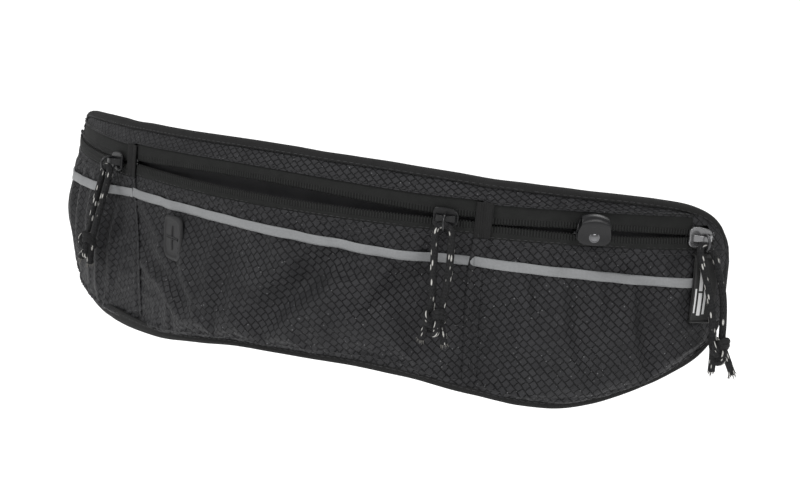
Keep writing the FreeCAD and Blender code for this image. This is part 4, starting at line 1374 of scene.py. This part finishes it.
# =====================================================================================
# pull cords
# =====================================================================================
ROUTE = {
    "left": [[-113.44, 16.53, -23.55], [-110.64, 14.66, -19.0], [-108.02, 13.45, -14.13], [-105.95, 12.54, -6.0], [-104.23, 12.16, 3.1], [-102.58, 12.63, 12.2], [-101.39, 13.52, 19.35], [-96.13, 10.63, 19.35], [-96.79, 9.45, 12.2], [-98.75, 9.05, 3.1], [-101.7, 10.09, -6.0], [-104.74, 11.53, -14.13], [-105.09, 11.5, -19.33], [-105.36, 12.22, -24.53]],
    "center": [[69.91, -4.39, -24.69], [71.7, -4.02, -19.86], [72.87, -3.36, -14.69], [72.83, -3.16, -6.06], [72.22, -2.86, 3.6], [71.32, -1.92, 13.26], [70.65, -0.73, 20.85], [76.26, 1.42, 20.85], [77.48, 0.44, 13.26], [78.14, -0.7, 3.6], [77.45, -1.5, -6.06], [76.45, -2.1, -14.69], [77.81, -1.79, -20.21], [78.75, -0.89, -25.73]],
    "right": [[166.32, 66.22, -31.47], [166.5, 65.97, -26.08], [166.03, 65.71, -20.31], [165.13, 64.91, -10.68], [163.19, 63.32, 0.1], [160.1, 61.42, 10.88], [157.47, 60.32, 19.35], [161.26, 64.98, 19.35], [164.26, 66.54, 10.88], [167.24, 68.15, 0.1], [168.29, 68.65, -10.68], [168.5, 68.6, -20.31], [170.76, 71.06, -26.47], [172.49, 73.99, -32.63]],
}
KNOT = {"left": [-107.11, 12.15, -15.75], "center": [74.87, -3.34, -16.41], "right": [168.06, 67.09, -22.23]}


def nurbs_line(points, res=12):
    cu = bpy.data.curves.new("route", "CURVE")
    cu.dimensions = "3D"
    sp = cu.splines.new("NURBS")
    sp.points.add(len(points) - 1)
    for p, q in zip(sp.points, points):
        p.co = (q[0] / 1000, q[1] / 1000, q[2] / 1000, 1)
    sp.order_u = 3
    sp.use_endpoint_u = True
    sp.resolution_u = res
    ob = bpy.data.objects.new("route", cu)
    scene.collection.objects.link(ob)
    dg = bpy.context.evaluated_depsgraph_get()
    me = bpy.data.meshes.new_from_object(ob.evaluated_get(dg))
    out = np.array([v.co for v in me.vertices])
    bpy.data.objects.remove(ob)
    bpy.data.meshes.remove(me)
    return out


for si, (side, pts) in enumerate(ROUTE.items()):
    path = nurbs_line(pts)
    body = "pull_" + side
    tv, tf, tu = tube_mesh(path, 0.0015, 18)
    cordob = make_object("pull_cord_braid_" + side, tv, tf, "cord", np.array(tu) * 0.01)
    seat(cordob, body, ["pull_cord_" + side])
    # overhand knot of the doubled cord
    k = np.array(KNOT[side]) / 1000
    phs = SLID[side]
    ex, ey, ez = np.array([math.cos(phs), math.sin(phs), 0]), radial(phs), np.array([0, 0, 1.0])
    bag = Bag()
    for off_, rr in ((0.0, 0.00142), (0.00165, 0.00142)):
        kp = []
        for i in range(120):
            t = 2 * math.pi * i / 120
            x = (math.sin(t) + 1.75 * math.sin(2 * t)) * 0.00138
            y = (math.cos(t) - 1.75 * math.cos(2 * t)) * 0.00150
            zz_ = -math.sin(3 * t) * 0.00165
            kp.append(k + ex * (x * 1.0) + ez * (y * 1.12 + off_ - 0.0008) + ey * (zz_ * 0.95 + 0.0003))
        v_, f_, u_ = tube_mesh(kp, rr, 14, closed=True)
        bag.add(v_, f_, u_)
    knot = bag.make("pull_knot_tied_" + side, "cord")
    seat(knot, body, ["pull_knot_" + side])
    # frayed ends
    rs = np.random.RandomState(90 + si)
    bag = Bag()
    for end, nxt in ((path[0], path[3]), (path[-1], path[-4])):
        d = (end - nxt) / np.linalg.norm(end - nxt)
        a = np.cross(d, ey)
        a /= np.linalg.norm(a)
        b = np.cross(d, a)
        for _ in range(22):
            t, r = rs.rand() * 2 * math.pi, math.sqrt(rs.rand()) * 0.00125
            st = end - d * 0.0006 + (a * math.cos(t) + b * math.sin(t)) * r
            sp_ = (a * math.cos(t) + b * math.sin(t)) * (0.25 + 0.35 * rs.rand()) + d + np.array([0, 0, -0.25])
            ln = 0.0008 + 0.0014 * rs.rand()
            curl = (a * (rs.rand() - 0.5) + b * (rs.rand() - 0.5)) * 0.0010
            fp = [st, st + sp_ * ln * 0.5 + curl * 0.4, st + sp_ * ln + curl]
            v_, f_, u_ = tube_mesh(fp, np.array([0.00016, 0.00014, 0.00007]), 5)
            bag.add(v_, f_, u_)
    fray = bag.make("pull_frays_" + side, "fray")
    seat(fray, body)

# =====================================================================================
# key tab: folded loop with its snap
# =====================================================================================
KEY = 0.655
W = 13.6
sec = []
for a in np.linspace(-0.2, math.pi + 0.35, 22):
    sec.append((8.8 + 2.35 * math.cos(a), 70.0 + 2.55 * math.sin(a)))
path_ = [(9.75, 61.0), (9.85, 63.2), (9.95, 65.2), (10.25, 67.2), (10.95, 69.0)] + [(8.8 + 2.3 * math.cos(a), 70.0 + 2.55 * math.sin(a)) for a in np.linspace(0.0, math.pi, 18)] + [(6.75, 68.8), (7.65, 67.0), (7.95, 65.2), (8.05, 63.2), (8.1, 61.7)]
path_ = np.array(path_)
nw = 9
du = np.linspace(-W / 2, W / 2, nw)
wf = np.interp(path_[:, 1], [61, 63, 66, 70, 73], [0.80, 0.98, 1.0, 0.86, 0.74])
ph = KEY + du[None, :] * wf[:, None] / (R0 + 8)
edge_soft = (1 - (np.abs(du) / (W / 2)) ** 6 * 0.06)[None, :]
off = path_[:, 0][:, None] + 0.10 * noise(path_[:, 1][:, None] / 3.0, du[None, :] / 5.0, 91)
z = path_[:, 1][:, None] - (1.3 * (du[None, :] / (W / 2)) ** 2) * sstep(66, 72, path_[:, 1])[:, None] + (0.9 * (np.abs(du[None, :]) / (W / 2)) ** 3) * sstep(63, 61, path_[:, 1])[:, None]
run = np.concatenate([[0], np.cumsum(np.linalg.norm(np.diff(path_, axis=0), axis=1))])
tab = grid_object("key_tab_loop", ph, off, z, "tether", 1.0, uv=np.stack([du[None, :] * np.ones((len(path_), 1)), run[:, None] * np.ones((1, nw))], -1))
bevel(tab, 0.28, 2, 50)
seat(tab, "key_tab", ["key_tab"])
# snap cap: a turned button with a rolled rim
prof = [(0.0, 1.35), (0.9, 1.32), (1.6, 1.18), (2.05, 1.05), (2.3, 1.15), (2.6, 1.12), (2.75, 0.85), (2.72, 0.5), (2.5, 0.2)]
V, F = [], []
ns = 36
cx_ = PN(KEY, 9.85, 64.4)
ex, ey, ez = np.array([math.cos(KEY), math.sin(KEY), 0]), radial(KEY), np.array([0, 0, 1.0])
for r, h in prof:
    r = r * 0.82
    for a in range(ns):
        t = 2 * math.pi * a / ns
        V.append(cx_ + (ex * math.cos(t) * max(r, 0.01) + ez * math.sin(t) * max(r, 0.01) + ey * h) / 1000)
for i in range(len(prof) - 1):
    for a in range(ns):
        b = (a + 1) % ns
        F.append((i * ns + a, i * ns + b, (i + 1) * ns + b, (i + 1) * ns + a))
snap = make_object("key_snap_cap", V, F, "rivet")
seat(snap, "key_tab", ["key_snap"])
# the tab's root inside the zip
nr = 10
tt = np.linspace(0, 1, nr)
ph = KEY + np.linspace(-6.6, 6.6, 7)[None, :] / R0 * np.ones((nr, 1))
rt = grid_object("key_tab_root_fold", ph, (1.2 + 2.7 * tt)[:, None] * np.ones((1, 7)), (65.0 + 0.25 * np.sin(tt * 3))[:, None] * np.ones((1, 7)), "tether", 1.1)
bevel(rt, 0.25, 2, 50)
seat(rt, "pack", ["key_tab_root"])

# =====================================================================================
# belt behind: straps, anchors, buckle
# =====================================================================================
ZB = 45.0


def strap_grid(name, p0, p1, r0, r1, n, wav=0.0, mat="webbing", seed=1, z0=ZB - 15.0, z1=ZB + 15.0):
    """Webbing: rounded selvedges, slight crown across."""
    k = np.linspace(p0, p1, n)
    wz = np.array([-1, -0.97, -0.9, -0.6, -0.3, 0, 0.3, 0.6, 0.9, 0.97, 1.0])
    half = (r1 - r0) / 2
    mid = (r0 + r1) / 2
    secp = [(w, half * (0.45 if abs(w) == 1 else (0.8 if abs(w) > 0.95 else 1.0))) for w in wz]
    ring_ = [(w, h) for w, h in secp] + [(w, -h) for w, h in secp[::-1]]
    V, UV = [], []
    for p in k:
        for w, h in ring_:
            zc = (z0 + z1) / 2 + w * (z1 - z0) / 2
            V.append(PN(p, mid + h - R0 + wav * float(noise(p * 20, w, seed)), zc))
            UV.append((p * 190, zc + (40 if h < 0 else 0)))
    m = len(ring_)
    F = []
    for i in range(n - 1):
        for j in range(m):
            q = (j + 1) % m
            F.append((i * m + j, i * m + q, (i + 1) * m + q, (i + 1) * m + j))
    F += [tuple(range(m - 1, -1, -1)), tuple((n - 1) * m + j for j in range(m))]
    return make_object(name, V, F, mat, np.array(UV) * 0.01)


for side, q in (("left", (-0.90, -0.80)), ("right", (0.80, 0.90))):
    ob = strap_grid("belt_anchor_pad_" + side, q[0], q[1], 182.1, 191.9, 10, 0.0)
    bevel(ob, 0.5, 2, 50)
    seat(ob, "pack", ["belt_anchor_" + side])
    bag = Bag()
    a, b = q
    for (x0, y0), (x1, y1) in ((((a + .012), ZB - 12), ((b - .012), ZB - 12)), (((b - .012), ZB - 12), ((b - .012), ZB + 12)), (((b - .012), ZB + 12), ((a + .012), ZB + 12)),
                               (((a + .012), ZB + 12), ((a + .012), ZB - 12)), (((a + .012), ZB - 12), ((b - .012), ZB + 12)), (((a + .012), ZB + 12), ((b - .012), ZB - 12))):
        t = np.linspace(0, 1, 20)
        pp = x0 + (x1 - x0) * t
        stitch_line(bag, PN(pp, 180.35 - R0, y0 + (y1 - y0) * t), -radial(pp), 2.2, 0.6, 0.5, 0.4)
    seat(bag.make("belt_box_stitch_" + side, "thread"), "pack")
sl = strap_grid("belt_webbing_left", -0.90, -0.150, 180.4, 182.0, 90, 0.0)
seat(sl, "pack", ["belt_strap_left"])
sr = strap_grid("belt_webbing_right", 0.132, 0.90, 180.4, 182.0, 110, 0.0)
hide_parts("belt_strap_right")
A = PN(0.80, 181.2 - R0, 45.0)
B = PN(0.20, 181.2 - R0, 45.0)
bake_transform(sr, "pack", "buckle_tongue", [float(c) for c in A], [float(c) for c in B])
st = strap_grid("belt_tail_right", 0.132, 0.56, 178.5, 180.1, 60, 0.0)
seat(st, "buckle_tongue", ["strap_tail_right"])


def bevel_copy(node, name, body, width, seg=3):
    src = frame["nodes"][node]
    ob = bpy.data.objects.new(name, src.data.copy())
    ob.data.materials.clear()
    ob.data.materials.append(MT["buckle"])
    scene.collection.objects.link(ob)
    bm = bmesh.new()
    bm.from_mesh(ob.data)
    bmesh.ops.remove_doubles(bm, verts=bm.verts, dist=1e-6)
    bmesh.ops.dissolve_limit(bm, angle_limit=math.radians(1.0), verts=bm.verts, edges=bm.edges)
    bm.to_mesh(ob.data)
    bm.free()
    bevel(ob, width, seg, 40)
    seat(ob, body, [node])
    return ob


bevel_copy("buckle_socket", "buckle_socket_shell", "pack", 1.1)
bevel_copy("buckle_tongue", "buckle_tongue_shell", "buckle_tongue", 0.7)
bevel_copy("strap_keeper", "strap_keeper_loop", "pack", 0.5)

# list any CAD node that is still shown
for nname, nob in frame["nodes"].items():
    if not nob.hide_render:
        print("CAD node still shown:", nname)

# =====================================================================================
# floor, light, camera
# =====================================================================================
fm = Mat("floor_white", base=(0.9, 0.9, 0.9), rough=1.0, spec=0.0)
fv = fm.obj(1.0)
fm.color(fm.noise(fv, 3.0), (0.93, 0.93, 0.93), (0.95, 0.95, 0.95))
fm.b.inputs["Emission Color"].default_value = (1, 1, 1, 1)
fm.b.inputs["Emission Strength"].default_value = 0.34
bpy.ops.mesh.primitive_plane_add(size=90.0, location=(0, 0, -0.30))
floor = bpy.context.object
floor.name = "floor"
floor.data.materials.append(fm.m)

world = bpy.data.worlds.new("studio")
scene.world = world
world.use_nodes = True
bg = next(n for n in world.node_tree.nodes if n.type == "BACKGROUND")
bg.inputs[0].default_value = (1, 1, 1, 1)
bg.inputs[1].default_value = 0.50


def aim(ob, loc, target):
    ob.location = loc
    ob.rotation_mode = "QUATERNION"
    ob.rotation_quaternion = (Vector(target) - Vector(loc)).to_track_quat("-Z", "Y")
    scene.collection.objects.link(ob)


def area(name, loc, target, size, power, size_y=None):
    li = bpy.data.lights.new(name, "AREA")
    li.energy = power
    li.size = size
    if size_y:
        li.shape = "RECTANGLE"
        li.size_y = size_y
    ob = bpy.data.objects.new(name, li)
    aim(ob, loc, target)
    return ob


sun = bpy.data.lights.new("key_sun", "SUN")
sun.energy = 1.75
sun.angle = math.radians(18)
aim(bpy.data.objects.new("key_sun", sun), (-0.42, -0.72, 0.98), (0, 0, 0))
area("fill_light", (0.85, -0.55, 0.55), (0.08, 0, 0), 0.45, 3.2)
area("rim_light", (0.15, 0.45, 0.80), (0, 0.05, 0), 0.5, 3.5)

cam_data = bpy.data.cameras.new("camera")
cam = bpy.data.objects.new("camera", cam_data)
scene.collection.objects.link(cam)
scene.camera = cam
cam_data.sensor_width = 36.0
cam_data.lens = 99.05
cam_data.clip_start, cam_data.clip_end = 0.05, 30.0
back = Vector((0.4669, -0.8671, 0.1736)).normalized()
fwd = -back
right = fwd.cross(Vector((0, 0, 1))).normalized()
up = right.cross(fwd)
rr_ = math.radians(4.85)
right2 = right * math.cos(rr_) + up * math.sin(rr_)
up2 = -right * math.sin(rr_) + up * math.cos(rr_)
Mx = Matrix((right2, up2, back)).transposed()
cam.rotation_mode = "QUATERNION"
cam.rotation_quaternion = Mx.to_quaternion()
cam.location = (0.4645, -0.7605, 0.1605)
scene.view_settings.view_transform = "Standard"
scene.view_settings.look = "None"
scene.view_settings.exposure = 0.0
scene.view_settings.gamma = 1.0
